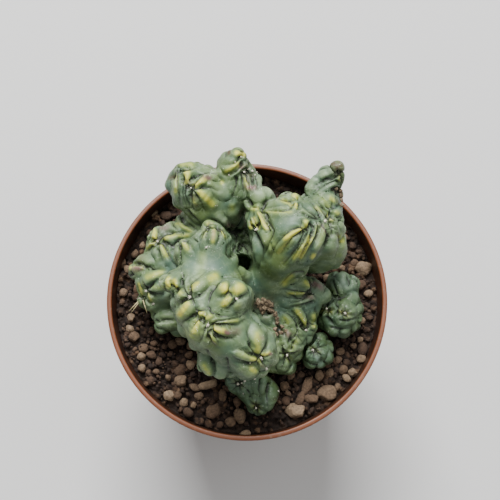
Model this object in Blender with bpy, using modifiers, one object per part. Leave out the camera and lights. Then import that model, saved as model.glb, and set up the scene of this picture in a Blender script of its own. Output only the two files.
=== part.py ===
"""Blue myrtle cactus, monstrose form, in a round nursery pot filled with gritty soil."""
import math
import random

import bmesh
import bpy
import numpy as np
from mathutils import Matrix, Vector
from mathutils.bvhtree import BVHTree

# Driving dimensions, in millimetres. Everything is drawn in millimetres and
# scaled to metres as the last step.
MM = 0.001
GAP = 0.3

RIM_DIAMETER = 105.0
POT_HEIGHT = 92.0
BASE_DIAMETER = 74.0
POT_WALL = 1.5
COLLAR_HEIGHT = 14.0
COLLAR_STEP = 1.6
BASE_THICKNESS = 2.0
POT_SIDES = 48
DRAIN_COUNT = 6
DRAIN_DIAMETER = 8.0
DRAIN_CIRCLE = 24.0

SOIL_LEVEL = 85.0
SOIL_SIDES = 96
SOIL_RINGS = 24
SOIL_TRIANGLES = 2700
GRIT_COUNT = 150
SOCKET_DEPTH = 9.0

LIMB_BLEND = 3.6
PAD_BLEND = 0.8
PAD_RISE = 0.85
PAD_WIDTH = 1.12
REMESH_SIZE = 0.75

# The line of sight along which the pads are laid out: an eye point in
# millimetres, its downward tilt and its focal length, with a frame 500 wide.
EYE = Vector((1.1, -63.0, 460.8))
EYE_TILT = math.radians(77.56)
EYE_FOCAL = 1000.0
EYE_CENTRE = 250.0

COLLECTION = "potted_myrtle_cactus"

# The stems as chains of balls: x, y, z and radius. Each chain is one limb.
CACTUS_LIMBS = {
    "trunk": [
        [(3, 2, 95, 9), (4, 2, 98, 8.5)],
        [(-6, 6, 96, 10), (-4, 4, 97, 9)],
        [(4, -4, 94, 8), (6, -3, 95, 8)],
    ],
    "rear_right": [
        [(5, 2, 95, 8), (8, 6, 105, 8), (13, 13, 116, 9.5), (17, 18, 121, 10.8)],
        [(17, 18, 121, 10.8), (25, 18, 119, 8.5)],
        [(12, 18, 118, 9), (6, 22, 118, 6)],
        [(8, 24, 115, 6), (5, 30, 114.5, 5), (2.5, 34, 118, 2.6)],
        [(14, 22, 118, 8), (15, 27, 120, 5)],
        [(24, 20, 118, 8), (27, 27, 118, 6), (27, 34, 117, 5.4), (29.5, 39, 120, 3.6), (30.5, 42, 123, 1.8)],
        [(24, 17, 114, 8), (30.5, 14, 110, 6.4), (27, 10, 105, 6.4)],
    ],
    "front": [
        [(2, 1, 98, 8), (-6, 2, 107, 7.6), (-11, 3, 114, 8)],
        [(-11, 3, 114, 8), (-12, 9, 117, 6.4), (-12, 15, 119.5, 5), (-12, 17.5, 120, 4.4)],
        [(-13, 6, 115, 7), (-19, 10, 115, 5.2), (-21, 12.5, 116, 4)],
        [(-14, 0, 116, 8), (-21, 1, 119, 5.2), (-26, 0.3, 120.5, 3.2)],
        [(-11, 3, 114, 8), (-15, -6, 120, 9.2), (-11, -14, 121, 9.8), (-4, -19, 118, 9), (2, -22, 114, 8)],
        [(-6, -7, 121, 7.6), (-5.5, -5.5, 126.5, 6.6)],
        [(-14, -8, 119, 8), (-18, -10, 118, 6.5)],
        [(-8, -18, 116, 7), (-12, -23, 112, 4.6), (-13, -26, 111, 3.6)],
        [(-6, -20, 114, 7), (-8, -24, 111, 4.8), (-8.5, -27, 110, 3.8)],
        [(0, -22, 115, 7), (0, -26, 115, 5.2), (0, -28.5, 114.5, 3.6)],
        [(2, -20, 116, 7), (4.5, -23.5, 116, 5.2)],
    ],
    "left": [
        [(-9, 6, 96, 9), (-18, 9, 97, 9.2), (-24, 12, 101, 9)],
        [(-20, 14, 99, 8.4), (-20, 21, 101, 7.4), (-19.5, 26, 100.5, 6)],
        [(-24, 14, 101, 8), (-29.5, 18, 102, 6.8)],
        [(-26, 12, 100, 8), (-35, 9, 99, 6.2), (-39.5, 8.5, 99.5, 3)],
        [(-26, 10, 100, 8), (-31, 4, 99, 7.4), (-33.5, -0.5, 96, 5.8)],
        [(-30, 2, 95, 6.2), (-29, -4, 92, 5)],
    ],
    "rear_left": [
        [(-9, 13, 95, 8.5), (-13, 23, 98, 7.5), (-13, 32, 107, 8.6)],
        [(-13, 32, 108, 8.6), (-18, 36, 113, 8), (-22, 38, 114, 5.8), (-24.5, 39.5, 114, 3.6)],
        [(-12, 32, 108, 8.6), (-5, 37, 111, 7.2), (-0.5, 38.5, 113, 5.2)],
        [(-5, 38, 112, 7), (-5, 43.5, 117, 4.4), (-4, 46, 118.5, 3)],
        [(-18, 36, 113, 8), (-14, 33, 110, 7)],
    ],
    "rear_notch": [
        [(-4, 16, 93, 7.4), (-3, 20, 92, 6.6)],
        [(-4, 22, 94, 6.2), (-5.5, 28, 98, 4.8), (-6.2, 33, 100, 2.6)],
    ],
    "right": [
        [(6, 0, 95, 8), (14, -1, 98, 7.4), (20, -0.5, 100, 6.8), (25.5, 0, 100, 4.4)],
        [(14, -4, 95, 7), (19, -9, 97, 5), (21, -12.5, 97, 3.8)],
    ],
    "front_right": [
        [(6, -4, 94, 8), (9, -10, 95, 8), (13, -16, 95, 7.6), (12.5, -22.5, 92.5, 6)],
        [(7, -8, 95, 6.4), (6.5, -5.5, 100, 4)],
    ],
    "left_finger": [
        [(-14, -6, 92, 5.6), (-24, -8.5, 94, 4.6), (-30.5, -9.5, 95, 3.4)],
    ],
}
OFFSET_RIGHT_LIMBS = {
    "stem": [
        [(35, -1, 91, 6), (34.2, -6.5, 92, 7), (34, -6.5, 94.5, 6.6)],
        [(35, -1, 91, 6), (35.4, 3.6, 90.5, 5.2), (35.6, 4, 93, 4.8)],
    ],
}
OFFSET_FRONT_RIGHT_LIMBS = {"stem": [[(25.6, -19.2, 89.5, 5.2), (25.5, -20, 92, 5.2)]]}
OFFSET_FRONT_LIMBS = {
    "stem": [
        [(2.4, -33, 90, 5.2), (-2.3, -29.5, 90.5, 5), (-2.6, -29.2, 92, 4.6)],
        [(3, -33, 90, 4.8), (4.5, -38, 88.5, 4.4)],
        [(3, -33, 90, 4.8), (7.5, -34.5, 88.5, 4.4)],
    ],
}

# The foot of each plant below the soil line: centre x, y and the two radii.
CACTUS_FOOT = (-3.0, 6.0, 13.5, 14.0)
OFFSET_RIGHT_FOOT = (34.8, -2.2, 5.6, 7.2)
OFFSET_FRONT_RIGHT_FOOT = (25.6, -19.6, 4.6, 4.6)
OFFSET_FRONT_FOOT = (2.0, -32.8, 5.2, 5.0)
FOOT_TOP = 88.0
PLANT_CLEARANCE = 1.2

# The fleshy pads that crown each head, seen along the line of sight: the
# frame's x and y where a pad starts, where it ends, and its width there.
CACTUS_PADS = [
    # rear left head
    (176, 170, 178, 205, 7), (183, 184, 186, 206, 8), (178, 166, 201, 163, 8), (184, 169, 189, 181, 7),
    (189, 183, 190, 185, 7), (194, 186, 206, 177, 8), (194, 190, 213, 204, 13), (193, 197, 196, 208, 7),
    (203, 175, 222, 174, 8), (209, 186, 226, 196, 9), (229, 152, 245, 155, 7), (225, 170, 240, 159, 8),
    (233, 175, 247, 166, 8), (235, 190, 247, 178, 9), (241, 176, 242, 195, 8), (247, 174, 250, 190, 7),
    (257, 172, 258, 188, 8), (251, 160, 259, 168, 8),
    # dark head behind the middle
    (231, 205, 236, 223, 11), (219, 217, 229, 226, 7), (230, 227, 232, 228, 7), (240, 227, 242, 224, 9),
    (227, 233, 235, 234, 5), (239, 237, 241, 235, 6), (245, 239, 247, 240, 6), (231, 249, 233, 254, 8),
    (237, 245, 239, 243, 6), (244, 247, 245, 258, 9),
    # left head
    (190, 211, 206, 226, 10), (182, 213, 200, 231, 9), (173, 218, 195, 233, 8), (165, 221, 178, 232, 12),
    (159, 221, 154, 239, 8), (150, 224, 147, 231, 8), (144, 233, 146, 237, 8), (141, 240, 139, 247, 7),
    (153, 242, 142, 250, 7), (164, 239, 178, 237, 9), (159, 245, 168, 260, 10), (154, 246, 158, 258, 6),
    (132, 257, 150, 263, 10), (129, 267, 131, 275, 8), (134, 268, 143, 267, 8), (143, 283, 165, 273, 11),
    (150, 290, 163, 284, 10), (147, 292, 153, 301, 6), (138, 282, 141, 296, 7), (146, 303, 151, 309, 8),
    # left finger
    (156, 319, 176, 315, 9), (158, 324, 176, 324, 8),
    # front limb: rear finger and shoulder
    (214, 229, 213, 246, 10), (209, 231, 203, 246, 7), (221, 229, 226, 241, 7), (182, 241, 190, 250, 9),
    (176, 243, 180, 260, 8), (188, 240, 196, 248, 6), (168, 279, 171, 288, 8), (175, 281, 177, 287, 8),
    # front limb: crown around the first centre
    (184, 282, 187, 294, 9), (185, 289, 205, 273, 7), (192, 291, 212, 275, 9), (168, 293, 174, 300, 9),
    (177, 293, 187, 297, 9), (194, 300, 179, 317, 15), (199, 313, 201, 314, 9), (197, 320, 192, 336, 11),
    (204, 317, 214, 314, 7),
    # front limb: raised knob
    (224, 288, 226, 289, 13), (240, 288, 241, 289, 14), (233, 297, 224, 306, 9), (236, 297, 239, 307, 8),
    # front limb: crown around the second centre and the tip
    (213, 323, 242, 317, 8), (213, 329, 228, 333, 8), (211, 335, 217, 344, 7), (203, 326, 206, 340, 8),
    (255, 326, 261, 355, 13), (234, 354, 257, 361, 11), (263, 357, 272, 352, 7), (248, 346, 258, 356, 8),
    (260, 364, 265, 368, 6), (203, 358, 210, 374, 12), (222, 362, 220, 377, 14), (241, 365, 252, 374, 13),
    # rear right head
    (252, 188, 258, 194, 8), (256, 194, 270, 193, 15), (246, 203, 249, 207, 6), (245, 214, 248, 220, 6),
    (252, 208, 259, 207, 7), (258, 212, 266, 228, 8), (252, 218, 257, 228, 6), (249, 221, 251, 228, 5),
    (294, 196, 296, 197, 9), (295, 204, 296, 204, 8), (280, 194, 291, 196, 8), (268, 205, 291, 200, 12),
    (264, 212, 298, 210, 9), (306, 221, 307, 223, 11), (303, 228, 276, 247, 11), (304, 234, 292, 253, 7),
    (309, 232, 291, 262, 9), (318, 223, 302, 262, 9), (325, 230, 311, 262, 11), (300, 211, 318, 219, 8),
    (306, 199, 325, 216, 8), (312, 197, 331, 211, 7), (332, 198, 334, 199, 9), (337, 212, 338, 214, 9),
    (331, 219, 333, 220, 8), (341, 220, 342, 222, 8), (334, 228, 335, 230, 9), (334, 237, 331, 256, 9),
    (343, 237, 341, 255, 9), (309, 191, 316, 179, 12), (316, 178, 330, 171, 11), (317, 191, 340, 179, 8),
    (341, 175, 343, 187, 7), (338, 174, 339, 167, 6),
    (262, 233, 270, 250, 7), (254, 240, 258, 262, 8),
    # right limb
    (291, 276, 311, 284, 12), (313, 281, 321, 287, 7), (283, 292, 307, 293, 7), (310, 297, 312, 297, 9),
    (286, 304, 311, 299, 8), (296, 309, 306, 322, 10), (312, 313, 315, 320, 7), (320, 318, 323, 322, 6),
    (313, 326, 315, 327, 8),
    # front right limb
    (262, 303, 264, 307, 13), (265, 317, 268, 318, 10), (277, 318, 277, 319, 6), (277, 324, 277, 325, 6),
    (275, 329, 276, 330, 6), (282, 327, 283, 328, 6), (281, 333, 281, 334, 6), (284, 313, 297, 325, 9),
    (298, 327, 298, 336, 9), (287, 334, 289, 336, 9), (293, 337, 304, 344, 9), (284, 346, 284, 348, 7),
    (275, 352, 283, 356, 8), (292, 352, 302, 346, 10), (285, 363, 284, 369, 8),
]
OFFSET_RIGHT_PADS = [
    (343, 270, 342, 284, 9), (357, 279, 347, 290, 9), (335, 280, 338, 292, 8), (350, 293, 359, 301, 8),
    (328, 299, 327, 307, 7), (320, 308, 326, 309, 7), (334, 305, 328, 308, 7), (332, 316, 328, 310, 7),
    (323, 317, 327, 310, 6), (346, 304, 345, 312, 7), (354, 309, 347, 313, 8), (352, 320, 346, 315, 8),
    (339, 320, 344, 314, 8), (337, 309, 343, 312, 7), (331, 327, 333, 335, 8), (345, 330, 345, 339, 8),
    (357, 329, 356, 336, 7), (364, 315, 363, 322, 6),
]
OFFSET_FRONT_RIGHT_PADS = [
    (313, 340, 313, 349, 7), (322, 345, 315, 350, 7), (322, 356, 315, 351, 8), (313, 362, 313, 352, 8),
    (304, 356, 311, 351, 7), (305, 344, 311, 349, 7), (320, 365, 323, 368, 7), (331, 338, 332, 350, 6),
]
OFFSET_FRONT_PADS = [
    (231, 374, 236, 383, 6), (225, 384, 236, 384, 7), (229, 392, 237, 386, 8), (240, 394, 239, 386, 6),
    (249, 391, 241, 385, 7), (248, 380, 241, 383, 7), (242, 375, 239, 382, 6), (255, 398, 256, 407, 7),
    (264, 402, 258, 408, 7), (267, 412, 258, 410, 8), (258, 417, 257, 411, 6), (248, 411, 255, 409, 7),
    (249, 402, 255, 407, 7), (270, 391, 268, 409, 13), (262, 376, 262, 390, 12),
]

# Pebbles that stand out of the soil: the frame's x and y, and both widths.
PEBBLES = [
    (364, 268, 17, 13), (355, 262, 8, 8), (361, 358, 9, 8), (353, 372, 9, 9), (308, 385, 11, 19),
    (327, 393, 18, 17), (300, 398, 8, 15), (312, 399, 15, 9), (296, 411, 20, 15), (284, 386, 9, 9),
    (154, 212, 9, 9), (121, 263, 9, 12), (131, 318, 8, 9), (134, 337, 10, 12), (144, 348, 10, 8),
    (190, 346, 9, 8), (173, 345, 9, 9), (181, 381, 13, 12), (209, 384, 22, 8), (222, 395, 8, 12),
    (169, 396, 10, 12), (214, 411, 16, 15), (240, 416, 12, 14), (246, 435, 12, 9),
]


def clearScene():
    for old in list(bpy.data.objects):
        bpy.data.objects.remove(old, do_unlink=True)


def makeMaterial(name, colour, roughness):
    material = bpy.data.materials.new(name)
    material.use_nodes = True
    shader = material.node_tree.nodes["Principled BSDF"]
    shader.inputs["Base Color"].default_value = (*colour, 1.0)
    shader.inputs["Roughness"].default_value = roughness
    shader.inputs["Metallic"].default_value = 0.0
    return material


def makeObject(name, mesh, collection, material=None):
    made = bpy.data.objects.new(name, mesh)
    collection.objects.link(made)
    if material:
        mesh.materials.clear()
        mesh.materials.append(material)
    return made


def applyModifiers(target):
    graph = bpy.context.evaluated_depsgraph_get()
    baked = bpy.data.meshes.new_from_object(target.evaluated_get(graph))
    target.modifiers.clear()
    target.data = baked
    return baked


def sightRay(x, y):
    """The direction from the eye through a place in the frame."""
    forward = Vector((0, math.cos(EYE_TILT), -math.sin(EYE_TILT)))
    right = Vector((1, 0, 0))
    up = right.cross(forward)
    return (forward + right * ((x - EYE_CENTRE) / EYE_FOCAL) - up * ((y - EYE_CENTRE) / EYE_FOCAL)).normalized()


def seatOn(tree, x, y):
    """Where a line of sight meets the stems, or passes closest to them."""
    ray = sightRay(x, y)
    place, normal, _, _ = tree.ray_cast(EYE, ray)
    if place is not None and place.z > SOIL_LEVEL:
        return place, normal
    best = None
    for step in range(60):
        height = 135.0 - step * 0.8
        probe = EYE + ray * ((height - EYE.z) / ray.z)
        near, normal, _, distance = tree.find_nearest(probe)
        if best is None or distance < best[0]:
            best = (distance, near, normal)
    return best[1], best[2]


def addBall(mesh, ball, subdivisions):
    bmesh.ops.create_icosphere(mesh, subdivisions=subdivisions, radius=ball[3], matrix=Matrix.Translation(ball[:3]))


def addCapsule(mesh, first, last, subdivisions=3):
    """The skin stretched over two balls."""
    part = bmesh.new()
    addBall(part, first, subdivisions)
    addBall(part, last, subdivisions)
    result = bmesh.ops.convex_hull(part, input=part.verts[:])
    inside = [item for item in result["geom_interior"] if isinstance(item, bmesh.types.BMVert)]
    bmesh.ops.delete(part, geom=inside, context="VERTS")
    scratch = bpy.data.meshes.new("scratch")
    part.to_mesh(scratch)
    part.free()
    mesh.from_mesh(scratch)
    bpy.data.meshes.remove(scratch)


def capsuleDistance(points, first, last):
    """Distance from each point to the skin of a tapered capsule."""
    start = np.array(first[:3], float)
    along = np.array(last[:3], float) - start
    offset = points - start
    share = np.clip(offset @ along / max(along @ along, 1e-9), 0, 1)
    return np.linalg.norm(offset - share[:, None] * along, axis=1) - (first[3] + share * (last[3] - first[3]))


def blendDistance(a, b, width):
    share = np.maximum(width - np.abs(a - b), 0) / width
    return np.minimum(a, b) - share * share * width / 4


def segmentsOf(limbs):
    return [pair for chains in limbs.values() for chain in chains for pair in zip(chain[:-1], chain[1:])]


def footSegment(foot):
    radius = min(foot[2], foot[3])
    return (foot[0], foot[1], SOIL_LEVEL + 4, radius), (foot[0], foot[1], SOIL_LEVEL + 6, radius)


def nearSegment(points, first, last, margin):
    a, b = np.array(first), np.array(last)
    low = np.minimum(a[:3] - a[3], b[:3] - b[3]) - margin
    high = np.maximum(a[:3] + a[3], b[:3] + b[3]) + margin
    return np.all((points > low) & (points < high), axis=1)


def bodyDistance(points, segments, pads, neighbour=None):
    """The skin of the stems with their pads, held clear of a neighbouring plant."""
    stems = np.full(len(points), 50.0)
    for first, last in segments:
        near = nearSegment(points, first, last, 7)
        if near.any():
            stems[near] = blendDistance(stems[near], capsuleDistance(points[near], first, last), LIMB_BLEND)
    skin = stems
    if pads:
        raised = np.full(len(points), 50.0)
        for first, last in pads:
            near = nearSegment(points, first, last, 3)
            if near.any():
                raised[near] = np.minimum(raised[near], capsuleDistance(points[near], first, last))
        skin = blendDistance(stems, raised, PAD_BLEND)
    if neighbour:
        skin = np.maximum(skin, PLANT_CLEARANCE - bodyDistance(points, *neighbour))
    return skin


def pullToSkin(mesh, segments, pads, neighbour=None, rounds=3):
    """Moves the vertices onto the skin that bodyDistance describes."""
    count = len(mesh.vertices)
    places = np.empty(count * 3)
    mesh.vertices.foreach_get("co", places)
    places = places.reshape(-1, 3)
    step = 0.12
    for _ in range(rounds):
        distance = bodyDistance(places, segments, pads, neighbour)
        slope = np.empty_like(places)
        for axis in range(3):
            nudge = np.zeros(3)
            nudge[axis] = step
            ahead = bodyDistance(places + nudge, segments, pads, neighbour)
            behind = bodyDistance(places - nudge, segments, pads, neighbour)
            slope[:, axis] = (ahead - behind) / (2 * step)
        steepness = np.maximum(np.linalg.norm(slope, axis=1), 0.5)
        move = (np.clip(distance, -1.2, 1.2) / steepness ** 2)[:, None] * slope
        places = places - move
    mesh.vertices.foreach_set("co", places.ravel())
    mesh.update()


def voxelSkin(name, mesh, size, collection):
    target = makeObject(name, mesh, collection)
    modifier = target.modifiers.new("remesh", "REMESH")
    modifier.mode = "VOXEL"
    modifier.voxel_size = size
    skin = applyModifiers(target)
    bpy.data.objects.remove(target, do_unlink=True)
    return skin


def treeOf(mesh):
    return BVHTree.FromPolygons([v.co.copy() for v in mesh.vertices], [list(p.vertices) for p in mesh.polygons])


def padBalls(tree, pad):
    """A pad as two tapered capsules, seated on the skin at its ends and middle."""
    x1, y1, x2, y2, width = pad
    stops = ((x1, y1, 0.72), ((x1 + x2) / 2, (y1 + y2) / 2, 1.0), (x2, y2, 0.72))
    length = math.hypot(x2 - x1, y2 - y1)
    balls = []
    middle, _ = seatOn(tree, *stops[1][:2])
    depth = (EYE - middle).length
    for x, y, share in stops:
        place, normal = seatOn(tree, x, y)
        if (place - middle).length > 1.8 + 0.85 * length * depth / EYE_FOCAL:
            place, normal, _, _ = tree.find_nearest(EYE + sightRay(x, y) * (depth + 0.6))
        radius = share * width * PAD_WIDTH * 0.5 * (EYE - place).length / EYE_FOCAL
        sunk = place - normal * (radius - min(PAD_RISE * radius, 1.9))
        balls.append((sunk.x, sunk.y, sunk.z, radius))
    return list(zip(balls[:-1], balls[1:]))


def sidePads(mesh, tree, rng, spacing, lowest):
    """Upright pads over the sides that the line of sight doesn't reach."""
    chosen, pads = [], []
    faces = list(mesh.polygons)
    rng.shuffle(faces)
    for face in faces:
        centre, normal = face.center.copy(), face.normal.copy()
        if centre.z < lowest or normal.z > 0.45 or normal.z < -0.6:
            continue
        ray = (centre - EYE).normalized()
        seen, _, _, _ = tree.ray_cast(EYE, ray)
        if seen is not None and (seen - centre).length < 1.5:
            continue
        if any((centre - other).length < spacing for other in chosen):
            continue
        chosen.append(centre)
        up = (Vector((0, 0, 1)) - normal * normal.z).normalized()
        lean = up.cross(normal) * rng.uniform(-0.5, 0.5)
        reach = (up + lean).normalized() * rng.uniform(2.4, 3.6)
        radius = rng.uniform(1.9, 2.6)
        balls = []
        for share, width in ((-1, 0.7), (0, 1.0), (1, 0.75)):
            place, facing, _, _ = tree.find_nearest(centre + reach * share)
            size = radius * width
            sunk = place - facing * (size * 0.4)
            balls.append((sunk.x, sunk.y, sunk.z, size))
        pads.extend(zip(balls[:-1], balls[1:]))
    return pads


def buildPlant(name, limbs, foot, frontPads, triangles, seed, collection, material, neighbour=None):
    """One plant: stems, pads and the plain foot that stands in the soil."""
    segments = segmentsOf(limbs)
    segments.append(footSegment(foot))
    stems = bmesh.new()
    for first, last in segments:
        addCapsule(stems, first, last)
    rough = bpy.data.meshes.new(name + "_rough")
    stems.to_mesh(rough)
    smooth = voxelSkin(name + "_smooth", rough.copy(), 1.1, collection)
    pullToSkin(smooth, segments, [], None, 2)
    tree = treeOf(smooth)
    rng = random.Random(seed)
    pads = [pair for pad in frontPads for pair in padBalls(tree, pad)]
    pads += sidePads(smooth, tree, rng, 6.4, SOIL_LEVEL + 5.0)
    for first, last in pads:
        addCapsule(stems, first, last, 2)
    full = bpy.data.meshes.new(name + "_full")
    stems.to_mesh(full)
    stems.free()
    skin = voxelSkin(name + "_skin", full, REMESH_SIZE, collection)
    pullToSkin(skin, segments, pads, neighbour)
    plant = makeObject(name, skin, collection, material)
    clipAbove(plant, SOIL_LEVEL + 1.2, foot)
    modifier = plant.modifiers.new("thin", "DECIMATE")
    modifier.ratio = min(1.0, triangles / (2.0 * len(plant.data.polygons)))
    modifier.use_collapse_triangulate = True
    applyModifiers(plant)
    addFoot(plant, foot, collection)
    tree = treeOf(plant.data)
    plant.data.transform(Matrix.Scale(MM, 4))
    print(name, len(plant.data.polygons), "triangles", len(pads) // 2, "pads")
    return tree, (segments, pads)


def footPrism(name, foot, grow, low, high, collection):
    """An upright oval prism around a plant's foot."""
    mesh = bmesh.new()
    scale = Matrix.Diagonal((foot[2] + grow, foot[3] + grow, 1.0, 1.0))
    place = Matrix.Translation((foot[0], foot[1], (low + high) / 2)) @ scale
    bmesh.ops.create_cone(mesh, cap_ends=True, segments=28, radius1=1.0, radius2=1.0, depth=high - low, matrix=place)
    data = bpy.data.meshes.new(name)
    mesh.to_mesh(data)
    mesh.free()
    return makeObject(name, data, collection)


def clipAbove(plant, height, foot):
    """Keeps only what stands above a height, with a flat underside there."""
    mesh = bmesh.new()
    mesh.from_mesh(plant.data)
    geometry = mesh.verts[:] + mesh.edges[:] + mesh.faces[:]
    cut = bmesh.ops.bisect_plane(mesh, geom=geometry, plane_co=(0, 0, height), plane_no=(0, 0, 1), clear_inner=True)
    rim = [item for item in cut["geom_cut"] if isinstance(item, bmesh.types.BMEdge)]
    bmesh.ops.holes_fill(mesh, edges=rim, sides=0)
    bmesh.ops.triangulate(mesh, faces=[f for f in mesh.faces if len(f.verts) > 4])
    mesh.to_mesh(plant.data)
    mesh.free()


def addFoot(plant, foot, collection):
    prism = footPrism("foot", foot, 0.0, SOIL_LEVEL - SOCKET_DEPTH + GAP, FOOT_TOP, collection)
    joined = plant.modifiers.new("join", "BOOLEAN")
    joined.operation = "UNION"
    joined.object = prism
    applyModifiers(plant)
    bpy.data.objects.remove(prism, do_unlink=True)


def potWallRadius(height):
    """The pot's outer radius below the collar at a height."""
    top = POT_HEIGHT - COLLAR_HEIGHT
    outer = RIM_DIAMETER / 2 - COLLAR_STEP
    return BASE_DIAMETER / 2 + (outer - 1.6 - BASE_DIAMETER / 2) * height / top


def buildPot(collection, cutters, material):
    """A tapered pot with a collar at the rim and drain holes in its base."""
    rim = RIM_DIAMETER / 2
    ledge = POT_HEIGHT - COLLAR_HEIGHT
    outline = [
        (rim - 0.4, POT_HEIGHT), (rim, POT_HEIGHT - 0.5), (rim, POT_HEIGHT - 2.2),
        (rim - 0.5, POT_HEIGHT - 2.8), (rim - COLLAR_STEP, ledge),
        (potWallRadius(ledge), ledge), (potWallRadius(2.0), 2.0), (potWallRadius(0) - 1.2, 0.0),
        (0.0, 0.0), (0.0, BASE_THICKNESS), (potWallRadius(0) - POT_WALL - 1.0, BASE_THICKNESS),
        (potWallRadius(3.5) - POT_WALL, 3.5), (potWallRadius(ledge) - POT_WALL, ledge + POT_WALL),
        (rim - COLLAR_STEP - POT_WALL, ledge + POT_WALL + 0.6), (rim - POT_WALL - 0.4, POT_HEIGHT),
    ]
    mesh = bpy.data.meshes.new("pot")
    profile = bmesh.new()
    corners = [profile.verts.new((radius * MM, 0, height * MM)) for radius, height in outline]
    for first, last in zip(corners, corners[1:] + corners[:1]):
        if first.co.x > 1e-9 or last.co.x > 1e-9:
            profile.edges.new((first, last))
    profile.to_mesh(mesh)
    profile.free()
    pot = makeObject("pot", mesh, collection, material)
    turned = pot.modifiers.new("turn", "SCREW")
    turned.steps = POT_SIDES
    turned.render_steps = POT_SIDES
    turned.use_merge_vertices = True
    turned.merge_threshold = 0.00001
    turned.use_smooth_shade = False
    for index in range(DRAIN_COUNT):
        angle = math.tau * (index + 0.5) / DRAIN_COUNT
        x, y = DRAIN_CIRCLE * math.cos(angle) * MM, DRAIN_CIRCLE * math.sin(angle) * MM
        bpy.ops.mesh.primitive_cylinder_add(vertices=20, radius=DRAIN_DIAMETER / 2 * MM, depth=0.012, location=(x, y, 0))
        cutter = bpy.context.object
        cutter.name = "drain_cutter_%d" % index
        cutter.hide_render = True
        cutter.display_type = "WIRE"
        for home in list(cutter.users_collection):
            home.objects.unlink(cutter)
        cutters.objects.link(cutter)
        cut = pot.modifiers.new("drain", "BOOLEAN")
        cut.operation = "DIFFERENCE"
        cut.object = cutter
    return pot


def gritMounds():
    """Every pebble in the soil's surface: centre, both radii, height and turn."""
    rng = random.Random(31)
    mounds = []
    for x, y, wide, deep in PEBBLES:
        ray = sightRay(x, y)
        place = EYE + ray * ((SOIL_LEVEL + 1 - EYE.z) / ray.z)
        reach = (EYE - place).length / EYE_FOCAL * 0.5
        mounds.append((place.x, place.y, max(wide * reach, 1.8), max(deep * reach, 1.8), 2.8, 0.0))
    while len(mounds) < len(PEBBLES) + GRIT_COUNT:
        radius = 46.0 * math.sqrt(rng.random())
        angle = rng.uniform(0, math.tau)
        size = rng.uniform(1.7, 2.7)
        mounds.append((radius * math.cos(angle), radius * math.sin(angle), size, size * rng.uniform(0.7, 1.2),
                       rng.uniform(1.0, 2.2), rng.uniform(0, math.pi)))
    return mounds


def underside(trees, x, y):
    """The lowest part of a plant above a place in the soil."""
    lowest = 200.0
    for dx, dy in ((0, 0), (1.6, 0), (-1.6, 0), (0, 1.6), (0, -1.6), (1.1, 1.1), (-1.1, -1.1), (1.1, -1.1), (-1.1, 1.1)):
        for tree in trees:
            hit, _, _, _ = tree.ray_cast(Vector((x + dx, y + dy, SOIL_LEVEL - SOCKET_DEPTH + 3)), Vector((0, 0, 1)))
            if hit is not None:
                lowest = min(lowest, hit.z)
    return lowest


def soilHeight(x, y, mounds, trees):
    """The soil's surface: a gentle lie with the pebbles raised out of it."""
    lie = SOIL_LEVEL - 0.9 - 0.012 * y - 0.012 * x
    raised = 0.0
    for cx, cy, rx, ry, height, turn in mounds:
        dx, dy = x - cx, y - cy
        if abs(dx) > 6 or abs(dy) > 6:
            continue
        u = (dx * math.cos(turn) + dy * math.sin(turn)) / rx
        v = (dy * math.cos(turn) - dx * math.sin(turn)) / ry
        inside = 1 - u * u - v * v
        if inside > 0:
            raised = max(raised, height * math.sqrt(inside))
    return min(lie + raised, underside(trees, x, y) - 0.7)


def buildSoil(feet, trees, collection, cutters, material):
    """The pot's filling, with pebbles in its surface and a socket for each foot."""
    mounds = gritMounds()
    ledge = POT_HEIGHT - COLLAR_HEIGHT
    edge = RIM_DIAMETER / 2 - COLLAR_STEP - POT_WALL - GAP - 0.1
    slot = [potWallRadius(0) - POT_WALL - 1.3, potWallRadius(3.5) - POT_WALL - 0.4,
            potWallRadius(ledge - 1) - POT_WALL - 0.5, edge - 0.1, edge + 0.2]
    level = [BASE_THICKNESS + 0.4, 4.0, ledge + 1.3, ledge + 3.4, SOIL_LEVEL - 0.8]
    mesh = bmesh.new()
    turn = [math.tau * index / SOIL_SIDES for index in range(SOIL_SIDES)]
    rings = [[mesh.verts.new((radius * math.cos(a), radius * math.sin(a), height)) for a in turn]
             for radius, height in zip(slot, level)]
    for ring in range(1, SOIL_RINGS):
        radius = edge * (1 - ring / SOIL_RINGS) ** 0.9
        row = []
        for index, angle in enumerate(turn):
            x, y = radius * math.cos(angle), radius * math.sin(angle)
            row.append(mesh.verts.new((x, y, soilHeight(x, y, mounds, trees))))
        rings.append(row)
    for lower, upper in zip(rings[:-1], rings[1:]):
        for index in range(SOIL_SIDES):
            after = (index + 1) % SOIL_SIDES
            mesh.faces.new((lower[index], lower[after], upper[after], upper[index]))
    mesh.faces.new(list(reversed(rings[0])))
    top = mesh.verts.new((0, 0, soilHeight(0, 0, mounds, trees)))
    for index in range(SOIL_SIDES):
        mesh.faces.new((rings[-1][index], rings[-1][(index + 1) % SOIL_SIDES], top))
    bmesh.ops.triangulate(mesh, faces=mesh.faces[:])
    data = bpy.data.meshes.new("soil")
    mesh.to_mesh(data)
    mesh.free()
    soil = makeObject("soil", data, collection, material)
    thin = soil.modifiers.new("thin", "DECIMATE")
    thin.ratio = SOIL_TRIANGLES / len(data.polygons)
    applyModifiers(soil)
    for foot in feet:
        socket = footPrism("socket_cutter", foot, GAP + 0.1, SOIL_LEVEL - SOCKET_DEPTH, SOIL_LEVEL + 8, cutters)
        cut = soil.modifiers.new("socket", "BOOLEAN")
        cut.operation = "DIFFERENCE"
        cut.object = socket
        applyModifiers(soil)
        bpy.data.objects.remove(socket, do_unlink=True)
    soil.data.transform(Matrix.Scale(MM, 4))
    print("soil", sum(len(p.vertices) - 2 for p in soil.data.polygons), "triangles")
    return soil


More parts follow.
